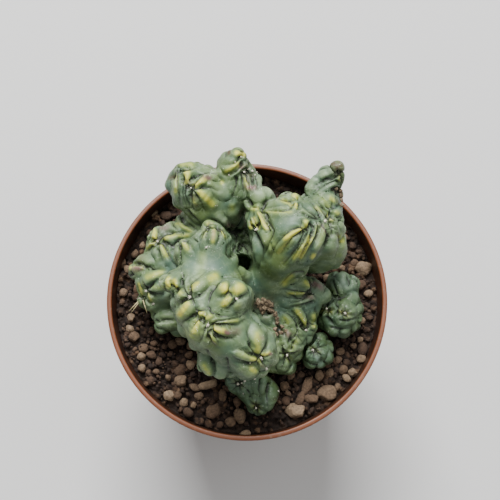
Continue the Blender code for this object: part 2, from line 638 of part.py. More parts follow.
def main():
    clearScene()
    collection = bpy.data.collections.new(COLLECTION)
    cutters = bpy.data.collections.new("cutters")
    bpy.context.scene.collection.children.link(collection)
    bpy.context.scene.collection.children.link(cutters)
    terracotta = makeMaterial("terracotta_plastic", (0.42, 0.13, 0.075), 0.45)
    earth = makeMaterial("gritty_soil", (0.045, 0.028, 0.019), 0.95)
    skin = makeMaterial("waxy_blue_green_skin", (0.17, 0.25, 0.16), 0.5)
    youngSkin = makeMaterial("offset_skin", (0.12, 0.2, 0.12), 0.5)
    buildPot(collection, cutters, terracotta)
    feet = (CACTUS_FOOT, OFFSET_RIGHT_FOOT, OFFSET_FRONT_RIGHT_FOOT, OFFSET_FRONT_FOOT)
    tree, cactus = buildPlant("cactus", CACTUS_LIMBS, CACTUS_FOOT, CACTUS_PADS, 10200, 5, collection, skin)
    trees = [tree]
    offsets = (
        ("offset_right", OFFSET_RIGHT_LIMBS, OFFSET_RIGHT_FOOT, OFFSET_RIGHT_PADS, 1100, 6),
        ("offset_front_right", OFFSET_FRONT_RIGHT_LIMBS, OFFSET_FRONT_RIGHT_FOOT, OFFSET_FRONT_RIGHT_PADS, 650, 7),
        ("offset_front", OFFSET_FRONT_LIMBS, OFFSET_FRONT_FOOT, OFFSET_FRONT_PADS, 950, 8),
    )
    for name, limbs, foot, pads, triangles, seed in offsets:
        trees.append(buildPlant(name, limbs, foot, pads, triangles, seed, collection, youngSkin, cactus)[0])
    buildSoil(feet, trees, collection, cutters, earth)


main()
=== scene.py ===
# Blue myrtle cactus, monstrose form, with three offsets in a terracotta-coloured nursery pot of gritty soil.
import math
import random
import bpy
import bmesh
import numpy as np
from mathutils import Matrix, Vector, noise
from mathutils.bvhtree import BVHTree


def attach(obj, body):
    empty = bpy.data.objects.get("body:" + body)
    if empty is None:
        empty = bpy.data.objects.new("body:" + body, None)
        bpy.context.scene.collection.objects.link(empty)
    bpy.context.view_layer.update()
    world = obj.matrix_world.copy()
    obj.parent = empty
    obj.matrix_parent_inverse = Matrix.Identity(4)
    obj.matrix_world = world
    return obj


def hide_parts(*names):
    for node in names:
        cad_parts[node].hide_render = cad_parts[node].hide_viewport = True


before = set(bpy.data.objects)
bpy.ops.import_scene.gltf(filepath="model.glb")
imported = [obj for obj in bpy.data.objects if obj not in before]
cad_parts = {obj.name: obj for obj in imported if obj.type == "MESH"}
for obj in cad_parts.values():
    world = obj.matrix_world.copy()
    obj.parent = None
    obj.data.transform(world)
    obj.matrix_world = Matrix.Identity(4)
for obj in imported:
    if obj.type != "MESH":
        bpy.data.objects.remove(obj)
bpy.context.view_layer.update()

mm = 0.001  # plants, soil and pot are drawn in millimetres and scaled to metres at the end
soilLevel = 85.0

# The photograph's viewpoint in millimetres, its downward tilt, and its focal length in a frame 500 wide.
sight = {
    "eye": Vector((1.1, -63.0, 460.8)),
    "tilt": math.radians(77.56),
    "focal": 1000.0,
    "centre": 250.0,
    "sensor": 36.0,
    "search": (135.0, 0.8, 60),  # where a line misses the skin: the top height tried, the step down, how many
}


def linear(hexColour):
    values = [int(hexColour[i:i + 2], 16) / 255 for i in (1, 3, 5)]
    return [v / 12.92 if v <= 0.04045 else ((v + 0.055) / 1.055) ** 2.4 for v in values] + [1.0]


def addNode(material, kind, settings=None, links=None):
    made = material.node_tree.nodes.new(kind)
    for key, value in (settings or {}).items():
        if isinstance(key, int) or key in made.inputs:
            made.inputs[key].default_value = value
        else:
            setattr(made, key, value)
    for key, source in (links or {}).items():
        material.node_tree.links.new(source, made.inputs[key])
    return made


def newMaterial(name, roughness, ior, colour=None):
    material = bpy.data.materials.new(name)
    material.use_nodes = True
    shader = material.node_tree.nodes["Principled BSDF"]
    shader.inputs["Roughness"].default_value = roughness
    shader.inputs["IOR"].default_value = ior
    if colour:
        shader.inputs["Base Color"].default_value = linear(colour)
    return material, shader


def layColours(material, look, sources):
    # Each layer names its colour, what its share is multiplied from, and how strong it is or the range that
    # turns the product into the share. A source is a pattern, given by size in mm, detail and roughness, or a
    # painted attribute, and the four numbers after it spread it from one range to another.
    where = addNode(material, "ShaderNodeTexCoord").outputs["Object"]
    for name, (size, detail, rough) in look["patterns"].items():
        settings = {"Scale": 1000 / size, "Detail": detail, "Roughness": rough}
        sources[name] = addNode(material, "ShaderNodeTexNoise", settings, {"Vector": where}).outputs["Fac"]
    ends = ("From Min", "From Max", "To Min", "To Max")
    below = None
    for colour, factors, span in look["layers"]:
        share = None
        for name, *limits in factors:
            if name not in sources:
                made = addNode(material, "ShaderNodeAttribute", {"attribute_name": name})
                sources[name] = made.outputs["Fac"]
            value = sources[name]
            if limits:
                made = addNode(material, "ShaderNodeMapRange", dict(zip(ends, limits)), {"Value": value})
                value = made.outputs["Result"]
            if share is not None:
                settings = {"operation": "MULTIPLY"}
                value = addNode(material, "ShaderNodeMath", settings, {0: share, 1: value}).outputs[0]
            share = value
        span = span if isinstance(span, tuple) else (0.0, 1.0, 0.0, span)
        made = addNode(material, "ShaderNodeMapRange", dict(zip(ends, span)), {"Value": share})
        settings = {"data_type": "RGBA", 7: linear(look[colour])}
        mix = addNode(material, "ShaderNodeMix", settings, {0: made.outputs["Result"]})
        if below is None:
            mix.inputs[6].default_value = linear(look["base"])
        else:
            material.node_tree.links.new(below, mix.inputs[6])
        below = mix.outputs[2]
    return below


def sightRay(x, y):  # the direction from the eye through a place in the frame
    forward = Vector((0, math.cos(sight["tilt"]), -math.sin(sight["tilt"])))
    right = Vector((1, 0, 0))
    up = right.cross(forward)
    across, down = (x - sight["centre"]) / sight["focal"], (y - sight["centre"]) / sight["focal"]
    return (forward + right * across - up * down).normalized()


def rayAt(x, y, height):  # the place at this height on a line of sight
    ray = sightRay(x, y)
    return sight["eye"] + ray * ((height - sight["eye"].z) / ray.z)


def frameOf(points):  # the reverse: where points lie in the frame
    tilt = sight["tilt"]
    offset = points - np.array(sight["eye"])
    depth = offset[:, 1] * math.cos(tilt) - offset[:, 2] * math.sin(tilt)
    rise = offset[:, 1] * math.sin(tilt) + offset[:, 2] * math.cos(tilt)
    scale = sight["focal"] / depth
    return sight["centre"] + offset[:, 0] * scale, sight["centre"] - rise * scale


def seatOn(tree, x, y):  # where a line of sight meets the skin, or passes closest to it
    place, normal, _, _ = tree.ray_cast(sight["eye"], sightRay(x, y))
    if place is not None and place.z > soilLevel - 1:
        return place, normal
    best = None
    top, drop, count = sight["search"]
    for step in range(count):
        near, normal, _, distance = tree.find_nearest(rayAt(x, y, top - step * drop))
        if best is None or distance < best[0]:
            best = (distance, near, normal)
    return best[1], best[2]


def meshFrom(shape, name):
    mesh = bpy.data.meshes.new(name)
    shape.to_mesh(mesh)
    shape.free()
    return mesh


def shaped(mesh, steps):  # the mesh after its modifiers, each a kind with its settings
    holder = bpy.data.objects.new("holder", mesh)
    bpy.context.scene.collection.objects.link(holder)
    for kind, settings in steps:
        modifier = holder.modifiers.new(kind, kind)
        for key, value in settings.items():
            setattr(modifier, key, value)
    graph = bpy.context.evaluated_depsgraph_get()
    made = bpy.data.meshes.new_from_object(holder.evaluated_get(graph))
    bpy.data.objects.remove(holder, do_unlink=True)
    return made


def cutAway(mesh, cutters, steps=()):  # the mesh less the cutters, then after any other modifiers
    tool = bpy.data.objects.new("tool", meshFrom(cutters, "tool"))
    bpy.context.scene.collection.objects.link(tool)
    cut = ("BOOLEAN", {"operation": "DIFFERENCE", "solver": "EXACT", "object": tool})
    made = shaped(mesh, [cut, *steps])
    bpy.data.objects.remove(tool, do_unlink=True)
    return made


def placesOf(mesh, what="co"):
    places = np.empty(len(mesh.vertices) * 3)
    mesh.vertices.foreach_get(what, places)
    return places.reshape(-1, 3)


def setPlaces(mesh, places):
    mesh.vertices.foreach_set("co", places.ravel())
    mesh.update()


def paint(mesh, name, values):
    layer = mesh.attributes.new(name, "FLOAT", "POINT")
    layer.data.foreach_set("value", np.clip(values, 0, 1).astype(np.float32))


def treeOf(mesh):
    corners = [list(face.vertices) for face in mesh.polygons]
    return BVHTree.FromPolygons([vertex.co.copy() for vertex in mesh.vertices], corners)


def finishPiece(name, mesh, material, replaced=None):
    mesh.transform(Matrix.Scale(mm, 4))
    mesh.materials.clear()
    mesh.materials.append(material)
    for face in mesh.polygons:
        face.use_smooth = True
    piece = bpy.data.objects.new(name, mesh)
    bpy.context.scene.collection.objects.link(piece)
    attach(piece, "root")
    if replaced:
        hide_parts(replaced)
    print(name, len(mesh.polygons), "faces")
    return piece


# The camera stands where the photograph's did.
camera = bpy.data.objects.new("camera", bpy.data.cameras.new("camera"))
bpy.context.scene.collection.objects.link(camera)
camera.data.sensor_width = sight["sensor"]
camera.data.lens = sight["sensor"] * sight["focal"] / (2 * sight["centre"])
camera.data.clip_start = 0.01
camera.location = sight["eye"] * mm
camera.rotation_mode = "QUATERNION"
camera.rotation_quaternion = sightRay(sight["centre"], sight["centre"]).to_track_quat("-Z", "Y")
bpy.context.scene.camera = camera

# Floor and soft light: a big source over the far side, a weak one at the right, and an even sky. In metres.
studio = {
    "floor": "#d6d6d5",
    "halfFloor": 4.0,
    "lights": [((-0.12, 0.85, 1.1), 0.75, 40.0), ((0.5, 0.1, 1.2), 0.7, 3.0)],  # place, size, watts
    "aim": (0, 0, 0.1),
    "sky": 0.43,
}


def buildStudio(values):
    shape = bmesh.new()
    bmesh.ops.create_grid(shape, x_segments=1, y_segments=1, size=values["halfFloor"])
    floor = bpy.data.objects.new("floor", meshFrom(shape, "floor"))
    bpy.context.scene.collection.objects.link(floor)
    # Plain pale paper, no gloss to the eye.
    floor.data.materials.append(newMaterial("mattePaperFloor", 0.9, 1.45, values["floor"])[0])
    for place, size, power in values["lights"]:
        lamp = bpy.data.lights.new("softLight", "AREA")
        lamp.size = size
        lamp.energy = power
        holder = bpy.data.objects.new("softLight", lamp)
        holder.location = place
        holder.rotation_mode = "QUATERNION"
        holder.rotation_quaternion = (Vector(values["aim"]) - Vector(place)).to_track_quat("-Z", "Y")
        bpy.context.scene.collection.objects.link(holder)
    sky = bpy.data.worlds.new("evenSky")
    bpy.context.scene.world = sky
    sky.use_nodes = True
    background = sky.node_tree.nodes["Background"]
    background.inputs["Color"].default_value = (1.0, 1.0, 1.0, 1.0)
    background.inputs["Strength"].default_value = values["sky"]


buildStudio(studio)
print("studio made")

# The stems as chains of balls, in millimetres: x, y, z and radius. Each chain is one limb.
cactusLimbs = {
    "trunk": [
        [(3, 2, 95, 9), (4, 2, 98, 8.5)],
        [(-6, 6, 96, 10), (-4, 4, 97, 9)],
        [(4, -4, 94, 8), (6, -3, 95, 8)],
    ],
    "rearRight": [
        [(5, 2, 95, 8), (8, 6, 105, 8), (13, 13, 116, 9.5), (17, 18, 121, 10.8)],
        [(17, 18, 121, 10.8), (25, 18, 119, 8.5)],
        [(12, 18, 118, 9), (6, 22, 118, 6)],
        [(8, 24, 115, 6), (5, 30, 114.5, 5), (2.5, 34, 118, 2.6)],
        [(14, 22, 118, 8), (15, 27, 120, 5)],
        [(24, 20, 118, 8), (27, 27, 118, 6), (27, 34, 117, 5.4), (29.5, 38.2, 120, 3.2),
         (31.6, 39.2, 122.5, 1.3)],
        [(31.6, 39.2, 122.5, 1.3), (31.6, 40.3, 124.2, 0.9), (30.2, 41.0, 125.2, 0.6)],
        [(24, 17, 114, 8), (29, 14.5, 111, 6.1), (26, 12, 107, 5.6)],
    ],
    "front": [
        [(2, 1, 98, 8), (-6, 2, 107, 7.6), (-11, 3, 114, 8)],
        [(-11, 3, 114, 8), (-12, 9, 117, 6.4), (-12, 15, 119.5, 5), (-12, 17.5, 120, 4.4)],
        [(-13, 6, 115, 7), (-19, 10, 115, 5.2), (-21, 12.5, 116, 4)],
        [(-14, 0, 116, 8), (-21, 1, 119, 5.2), (-26, 0.3, 120.5, 3.2)],
        [(-11, 3, 114, 8), (-15, -6, 120, 9.2), (-11, -14, 121, 9.8), (-4, -19, 118, 9), (2, -22, 114, 8)],
        [(-6, -7, 121, 7.6), (-5.5, -5.5, 126.5, 6.6)],
        [(-14, -8, 119, 8), (-18, -10, 118, 6.5)],
        [(-8, -18, 116, 7), (-12, -23, 112, 4.6), (-13, -26, 111, 3.6)],
        [(-6, -20, 114, 7), (-8, -24, 111, 4.8), (-8.5, -27, 110, 3.8)],
        [(0, -22, 115, 7), (0, -26, 115, 5.2), (0, -28.5, 114.5, 3.6)],
        [(2, -20, 116, 7), (4.5, -23.5, 116, 5.2)],
    ],
    "left": [
        [(-9, 6, 96, 9), (-18, 9, 97, 9.2), (-24, 12, 101, 9)],
        [(-20, 14, 99, 8.4), (-20, 21, 101, 7.4), (-19.5, 26, 100.5, 6)],
        [(-24, 14, 101, 8), (-29.5, 18, 102, 6.8)],
        [(-26, 12, 100, 8), (-35, 9, 99, 6.2), (-39.5, 8.5, 99.5, 3)],
        [(-26, 10, 100, 8), (-31, 4, 99, 7.4), (-33.5, -0.5, 96, 5.8)],
        [(-30, 2, 95, 6.2), (-29, -4, 92, 5)],
    ],
    "rearLeft": [
        [(-9, 13, 95, 8.5), (-13, 23, 98, 7.5), (-13, 32, 107, 8.6)],
        [(-13, 32, 108, 8.6), (-18, 36, 113, 8), (-22, 38, 114, 5.8), (-24.5, 39.5, 114, 3.6)],
        [(-12, 32, 108, 8.6), (-5, 37, 111, 7.2), (-0.5, 38.5, 113, 5.2)],
        [(-5, 38, 112, 7), (-5, 43.5, 117, 4.4), (-4, 46, 118.5, 3)],
        [(-18, 36, 113, 8), (-14, 33, 110, 7)],
    ],
    "rearNotch": [
        [(-4, 16, 93, 7.4), (-3, 20, 92, 6.6)],
        [(-4, 22, 94, 6.2), (-5.5, 28, 98, 4.8), (-6.2, 33, 100, 2.6)],
        [(-6.0, 26.7, 99.0, 5.2), (-6.1, 29.7, 104.0, 3.8), (-6.2, 31.7, 107.0, 1.8)],
    ],
    "right": [
        [(6, 0, 95, 8), (14, -1, 98, 7.4), (20, -0.5, 100, 6.8), (25.5, 0, 100, 4.4)],
        [(14, -4, 95, 7), (19, -9, 97, 5), (21, -12.5, 97, 3.8)],
    ],
    "frontRight": [
        [(6, -4, 94, 8), (9, -10, 95, 8), (13, -16, 95, 7.6), (12.5, -22.5, 92.5, 6)],
        [(7, -8, 95, 6.4), (6.5, -5.5, 100, 4)],
    ],
    "leftFinger": [
        [(-14, -6, 92, 5.6), (-24, -8.5, 94, 4.6), (-30.5, -9.5, 95, 3.4)],
    ],
}
offsetRightLimbs = {
    "stem": [
        [(35, -1, 91, 6), (34.2, -6.5, 92, 7), (34, -6.5, 94.5, 6.6)],
        [(35, -1, 91, 6), (35.4, 3.6, 90.5, 5.2), (35.6, 4, 93, 4.8)],
    ],
}
offsetFrontRightLimbs = {"stem": [[(25.6, -19.2, 89.5, 5.2), (25.5, -20, 92, 5.2)]]}
offsetFrontLimbs = {
    "stem": [
        [(2.4, -33, 90, 5.2), (-2.3, -29.5, 90.5, 5), (-2.6, -29.2, 92, 4.6)],
        [(3, -33, 90, 4.8), (4.5, -38, 88.5, 4.4)],
        [(3, -33, 90, 4.8), (7.5, -34.5, 88.5, 4.4)],
    ],
}

# The foot of each plant: centre x, y and the two radii.
feet = {
    "cactus": (-3.0, 6.0, 13.5, 14.0),
    "offsetRight": (34.8, -2.2, 5.6, 7.2),
    "offsetFrontRight": (25.6, -19.6, 4.6, 4.6),
    "offsetFront": (2.0, -32.8, 5.2, 5.0),
}

skinShape = {  # in mm, or in the frame's units for what is traced there
    "voxel": 0.5,  # the skin's mesh size
    "roughVoxel": 1.0,  # the bare limbs' mesh size, which only seats the pads
    "limbBlend": 3.4,  # how softly limbs flow into each other
    "padBlend": 1.6,  # and pads into the limb
    "padWidth": 1.4,  # a pad's real width over its traced one
    "swell": 1.15,  # how far the skin sinks towards a traced crease
    "swellWidth": 2.4,
    "cut": 0.3,  # the sharp line at the crease's bottom
    "cutWidth": 1.1,
    "creaseReach": 6,  # past this a crease has no effect
    "creaseFade": (1.15, 0.85),  # its depth at the start, and how much of it is lost by the end
    "grooveDepth": 0.65,  # the groove between two pads
    "grooveWidth": 0.5,
    "tracedGroove": 0.25,  # what is left of it where the traced creases do its work
    "hollowBlend": 2.0,  # how softly the lip of a hollow is rounded
    "clearance": 1.2,  # between an offset and the main plant
    "buried": 4.0,  # how deep the foot goes on below the soil's surface
    "mostFaces": 190000,
}

# Deep gaps between the limbs: frame x and y, height of the top and the bottom, radius.
hollows = [(242, 264, 110, 91, 3.9)]

# The creases that part the pads, as lines in the frame: x and y of each point. Each is deepest at its start.
creases = [
    # rear left head
    (192, 188, 194, 183, 198, 178, 205, 172), (190, 180, 195, 175, 202, 172, 209, 171, 216, 173, 223, 182),
    (192, 188, 197, 188, 203, 187, 212, 188, 219, 191), (191, 189, 196, 196, 200, 202, 205, 211),
    (190, 190, 190, 197, 191, 204, 194, 211), (182, 176, 182, 185, 181, 193, 184, 202, 187, 208),
    (177, 169, 176, 180, 177, 190, 180, 206), (187, 188, 184, 194, 187, 201, 190, 209),
    (179, 170, 186, 168, 192, 168, 198, 166), (177, 166, 179, 170, 182, 176),
    (189, 188, 185, 184, 183, 177), (189, 188, 186, 187, 183, 189), (172, 178, 174, 173, 175, 165),
    (243, 156, 240, 158, 236, 162, 230, 164, 221, 164), (243, 163, 240, 167, 235, 172, 230, 174, 223, 175),
    (249, 168, 243, 170, 240, 175, 235, 178), (249, 171, 250, 167, 250, 160),
    (244, 173, 250, 172, 255, 174), (236, 178, 235, 187, 233, 195, 233, 202),
    (243, 174, 243, 184, 244, 192, 245, 198), (248, 173, 248, 182, 248, 190),
    (253, 174, 253, 182, 252, 188), (257, 176, 258, 183, 258, 190),
    # dark head behind the middle
    (236, 233, 230, 231, 223, 228, 217, 223), (236, 232, 231, 227, 229, 222),
    (236, 232, 239, 225, 241, 219), (236, 233, 243, 231, 247, 226), (236, 233, 239, 237, 245, 239),
    (236, 233, 231, 236, 227, 235), (236, 233, 237, 239, 235, 245),
    (235, 246, 235, 252, 231, 257, 228, 254, 228, 247, 231, 244), (241, 243, 239, 250, 240, 258, 245, 263),
    (241, 243, 246, 245, 249, 250, 249, 259),
    # left head
    (187, 211, 190, 215, 196, 220, 202, 225), (176, 215, 180, 217, 184, 223, 190, 226, 198, 231),
    (171, 217, 174, 224, 178, 230, 182, 233), (157, 241, 158, 233, 158, 226, 160, 218),
    (158, 240, 160, 236, 165, 233, 172, 232, 181, 232, 190, 232), (162, 241, 163, 238, 162, 235),
    (158, 242, 163, 242, 168, 244, 172, 246, 176, 242, 179, 239, 184, 238, 190, 240),
    (157, 242, 157, 249, 159, 255, 162, 261), (164, 243, 167, 250, 169, 256, 173, 263, 181, 272),
    (157, 241, 153, 240, 149, 239, 147, 234), (156, 242, 153, 246, 148, 250, 141, 252),
    (153, 241, 148, 241, 144, 245, 140, 250), (149, 239, 148, 235, 151, 231),
    (131, 264, 136, 263, 142, 264, 144, 267, 143, 270, 138, 272), (144, 267, 150, 268, 158, 268, 165, 270),
    (146, 290, 149, 286, 153, 283, 158, 280, 165, 277), (146, 291, 150, 294, 156, 295, 164, 294),
    (146, 290, 143, 286, 141, 280), (146, 291, 145, 297, 148, 302, 152, 304),
    (140, 297, 142, 301, 144, 306, 148, 311), (140, 298, 137, 292, 136, 285),
    # left finger
    (155, 321, 164, 320, 175, 320),
    # front limb: rear finger and shoulder
    (208, 224, 207, 229, 205, 236, 208, 245), (217, 226, 221, 231, 220, 239, 216, 246),
    (208, 225, 212, 226, 217, 226), (206, 226, 202, 231, 200, 240),
    (218, 226, 224, 229, 227, 235, 227, 243), (204, 226, 210, 222, 216, 223, 220, 227),
    (178, 242, 180, 239, 186, 239, 190, 243, 190, 250), (178, 242, 180, 249, 180, 257, 180, 265, 183, 273),
    (176, 243, 173, 248, 171, 254), (183, 274, 181, 280, 181, 286, 177, 289, 171, 290, 165, 286),
    (173, 288, 171, 284, 170, 279), (177, 289, 174, 293, 171, 298),
    # front limb: crown around the first centre
    (190, 297, 185, 293, 181, 287), (190, 296, 186, 294, 182, 288, 183, 280, 188, 274),
    (190, 296, 189, 289, 190, 284, 196, 279, 202, 274, 208, 269), (191, 297, 199, 295, 206, 290, 213, 283),
    (190, 297, 184, 299, 179, 303, 175, 308, 173, 314, 174, 321), (191, 298, 194, 303, 196, 309),
    (196, 309, 201, 309, 206, 309, 208, 302), (196, 310, 194, 315, 188, 319, 183, 322, 176, 325),
    (196, 310, 195, 314, 197, 318, 202, 319, 205, 316, 206, 311), (203, 318, 203, 321, 207, 324),
    (197, 319, 194, 323, 191, 329), (200, 319, 203, 322, 208, 325),
    # front limb: raised knob
    (229, 293, 230, 286, 231, 280), (229, 292, 226, 295, 220, 298), (229, 292, 233, 295, 237, 298),
    (236, 298, 234, 304, 229, 309, 222, 309), (237, 298, 243, 297, 248, 293),
    (208, 301, 210, 292, 216, 283, 225, 277, 236, 277, 246, 282, 254, 290, 257, 299),
    (207, 305, 212, 311, 220, 315, 232, 316, 243, 312),
    # front limb: crown around the second centre and the tip
    (209, 325, 204, 331, 202, 337, 198, 345), (210, 325, 216, 321, 222, 320, 231, 319, 241, 317, 252, 308),
    (210, 325, 220, 325, 230, 325, 238, 325, 244, 321),
    (212, 327, 212, 332, 218, 337, 226, 339, 234, 338, 241, 332),
    (211, 328, 209, 333, 208, 338, 211, 343, 217, 347), (213, 333, 217, 338, 219, 345),
    (260, 358, 255, 354, 252, 349, 249, 341, 248, 331, 251, 322),
    (260, 357, 263, 353, 267, 347, 269, 340, 268, 332),
    (260, 358, 256, 356, 250, 354, 244, 351, 238, 349, 232, 351),
    (259, 361, 256, 364, 250, 365, 243, 363, 236, 360, 231, 355), (261, 358, 266, 358, 271, 355),
    (260, 359, 258, 364, 258, 369), (262, 359, 265, 364, 267, 369),
    (206, 352, 210, 358, 213, 364, 214, 371, 213, 379), (226, 360, 228, 367, 229, 374),
    # rear right head
    (262, 208, 264, 204, 268, 200, 274, 197, 279, 196), (247, 200, 252, 206, 258, 207, 262, 208),
    (292, 200, 286, 200, 280, 198, 275, 198), (293, 202, 290, 207, 283, 210, 275, 210, 262, 209),
    (290, 200, 294, 200, 300, 199), (299, 198, 300, 203, 299, 208, 295, 211),
    (320, 218, 316, 214, 311, 211, 304, 206, 301, 200), (321, 217, 319, 211, 313, 203, 307, 197),
    (329, 217, 326, 213, 321, 206, 315, 199), (320, 218, 316, 218, 310, 217, 303, 213, 296, 212),
    (330, 215, 331, 210, 333, 206, 332, 199), (327, 206, 333, 208, 341, 205),
    (330, 214, 336, 219, 343, 216), (327, 214, 330, 222, 335, 223, 338, 219),
    (311, 224, 309, 229, 305, 229, 301, 226, 301, 220, 305, 218, 310, 219),
    (304, 228, 298, 226, 290, 229, 283, 235, 276, 243, 273, 250, 270, 259),
    (304, 230, 300, 234, 293, 238, 286, 246, 281, 254), (305, 231, 301, 241, 296, 249, 289, 258, 283, 265),
    (309, 229, 307, 235, 303, 243, 297, 252, 290, 263),
    (312, 222, 314, 228, 312, 236, 308, 245, 303, 254, 297, 264),
    (318, 221, 320, 227, 318, 236, 313, 245, 306, 255, 300, 264),
    (322, 222, 328, 229, 329, 236, 327, 243, 321, 252, 317, 258, 311, 265), (330, 223, 332, 232, 331, 241),
    (341, 243, 340, 236, 336, 232), (330, 225, 336, 228, 341, 232),
    (257, 229, 254, 222, 252, 215, 253, 209), (257, 229, 258, 221, 256, 213),
    (268, 231, 266, 224, 262, 216, 258, 210), (253, 229, 249, 224, 249, 217),
    (260, 207, 264, 212, 268, 222, 272, 231, 270, 241, 262, 256, 257, 270),
    (253, 232, 258, 240, 262, 249, 262, 263), (338, 176, 333, 178, 326, 179, 316, 184, 309, 193),
    (341, 184, 336, 181, 328, 183, 318, 188, 311, 197), (338, 172, 342, 176, 343, 184, 340, 190),
    (338, 189, 342, 192, 342, 200, 339, 206), (333, 190, 338, 189, 337, 196, 337, 203),
    # right limb
    (313, 288, 311, 279, 306, 274, 300, 273, 294, 274, 287, 279, 281, 286),
    (312, 291, 300, 290, 290, 289, 280, 290), (309, 293, 304, 297, 297, 298, 290, 296, 285, 292),
    (312, 290, 314, 285, 313, 280, 309, 275), (311, 292, 307, 295, 304, 299, 298, 302, 289, 303),
    (311, 292, 315, 293, 317, 299), (313, 303, 307, 305, 301, 306, 292, 307),
    (306, 330, 309, 326, 310, 320, 307, 314, 302, 308), (306, 330, 301, 325, 298, 319, 292, 313),
    (311, 323, 316, 323, 320, 321, 326, 319), (318, 323, 319, 328, 316, 332, 311, 331, 311, 325),
    # front right limb
    (298, 332, 297, 323, 293, 317, 287, 313, 280, 311), (290, 342, 292, 337, 297, 334, 301, 338, 305, 345),
    (291, 350, 293, 344, 297, 338), (287, 355, 282, 350, 281, 346, 284, 344, 288, 350),
    (287, 355, 279, 354, 273, 351), (287, 356, 284, 362, 281, 370), (288, 355, 294, 355, 301, 351),
    (288, 357, 292, 362, 291, 368), (279, 328, 276, 322, 273, 319), (279, 328, 284, 325, 285, 320),
    (279, 329, 273, 329, 269, 327), (279, 329, 284, 333, 286, 339), (279, 329, 277, 335, 279, 341),
    (271, 310, 267, 314, 261, 316), (270, 312, 266, 309, 261, 311),
]
offsetCreases = [
    # the small stars, each ray from its middle outwards
    (327, 308, 320, 308), (327, 308, 325, 301), (327, 308, 332, 302), (327, 309, 335, 309),
    (327, 309, 332, 316), (327, 309, 326, 317), (327, 309, 321, 314), (345, 313, 338, 305),
    (345, 313, 346, 303), (345, 313, 353, 308), (345, 313, 354, 316), (345, 314, 349, 321),
    (345, 314, 341, 321), (345, 313, 337, 314), (314, 350, 310, 343), (314, 350, 319, 343),
    (314, 350, 322, 350), (314, 351, 320, 358), (314, 351, 313, 362), (314, 351, 306, 356),
    (314, 350, 307, 348), (238, 384, 231, 378), (238, 384, 240, 375), (238, 384, 246, 379),
    (238, 384, 247, 389), (238, 385, 240, 395), (238, 385, 231, 392), (238, 384, 228, 384),
    (256, 408, 249, 402), (256, 408, 257, 398), (256, 408, 264, 403), (256, 408, 265, 412),
    (256, 409, 257, 418), (256, 409, 248, 412),
    # folds between them
    (337, 313, 338, 305, 335, 299, 331, 292), (340, 298, 336, 292, 333, 284, 331, 275),
    (349, 284, 349, 279, 347, 272), (336, 298, 345, 296, 353, 292),
    (340, 321, 348, 322, 355, 319, 363, 318), (326, 318, 331, 322, 337, 329),
    (330, 328, 340, 330, 351, 328), (318, 345, 320, 336), (318, 347, 324, 346, 331, 343),
    (316, 352, 322, 356, 321, 365), (262, 374, 258, 390, 262, 399), (270, 384, 267, 395, 268, 409),
    (247, 391, 252, 399),
]

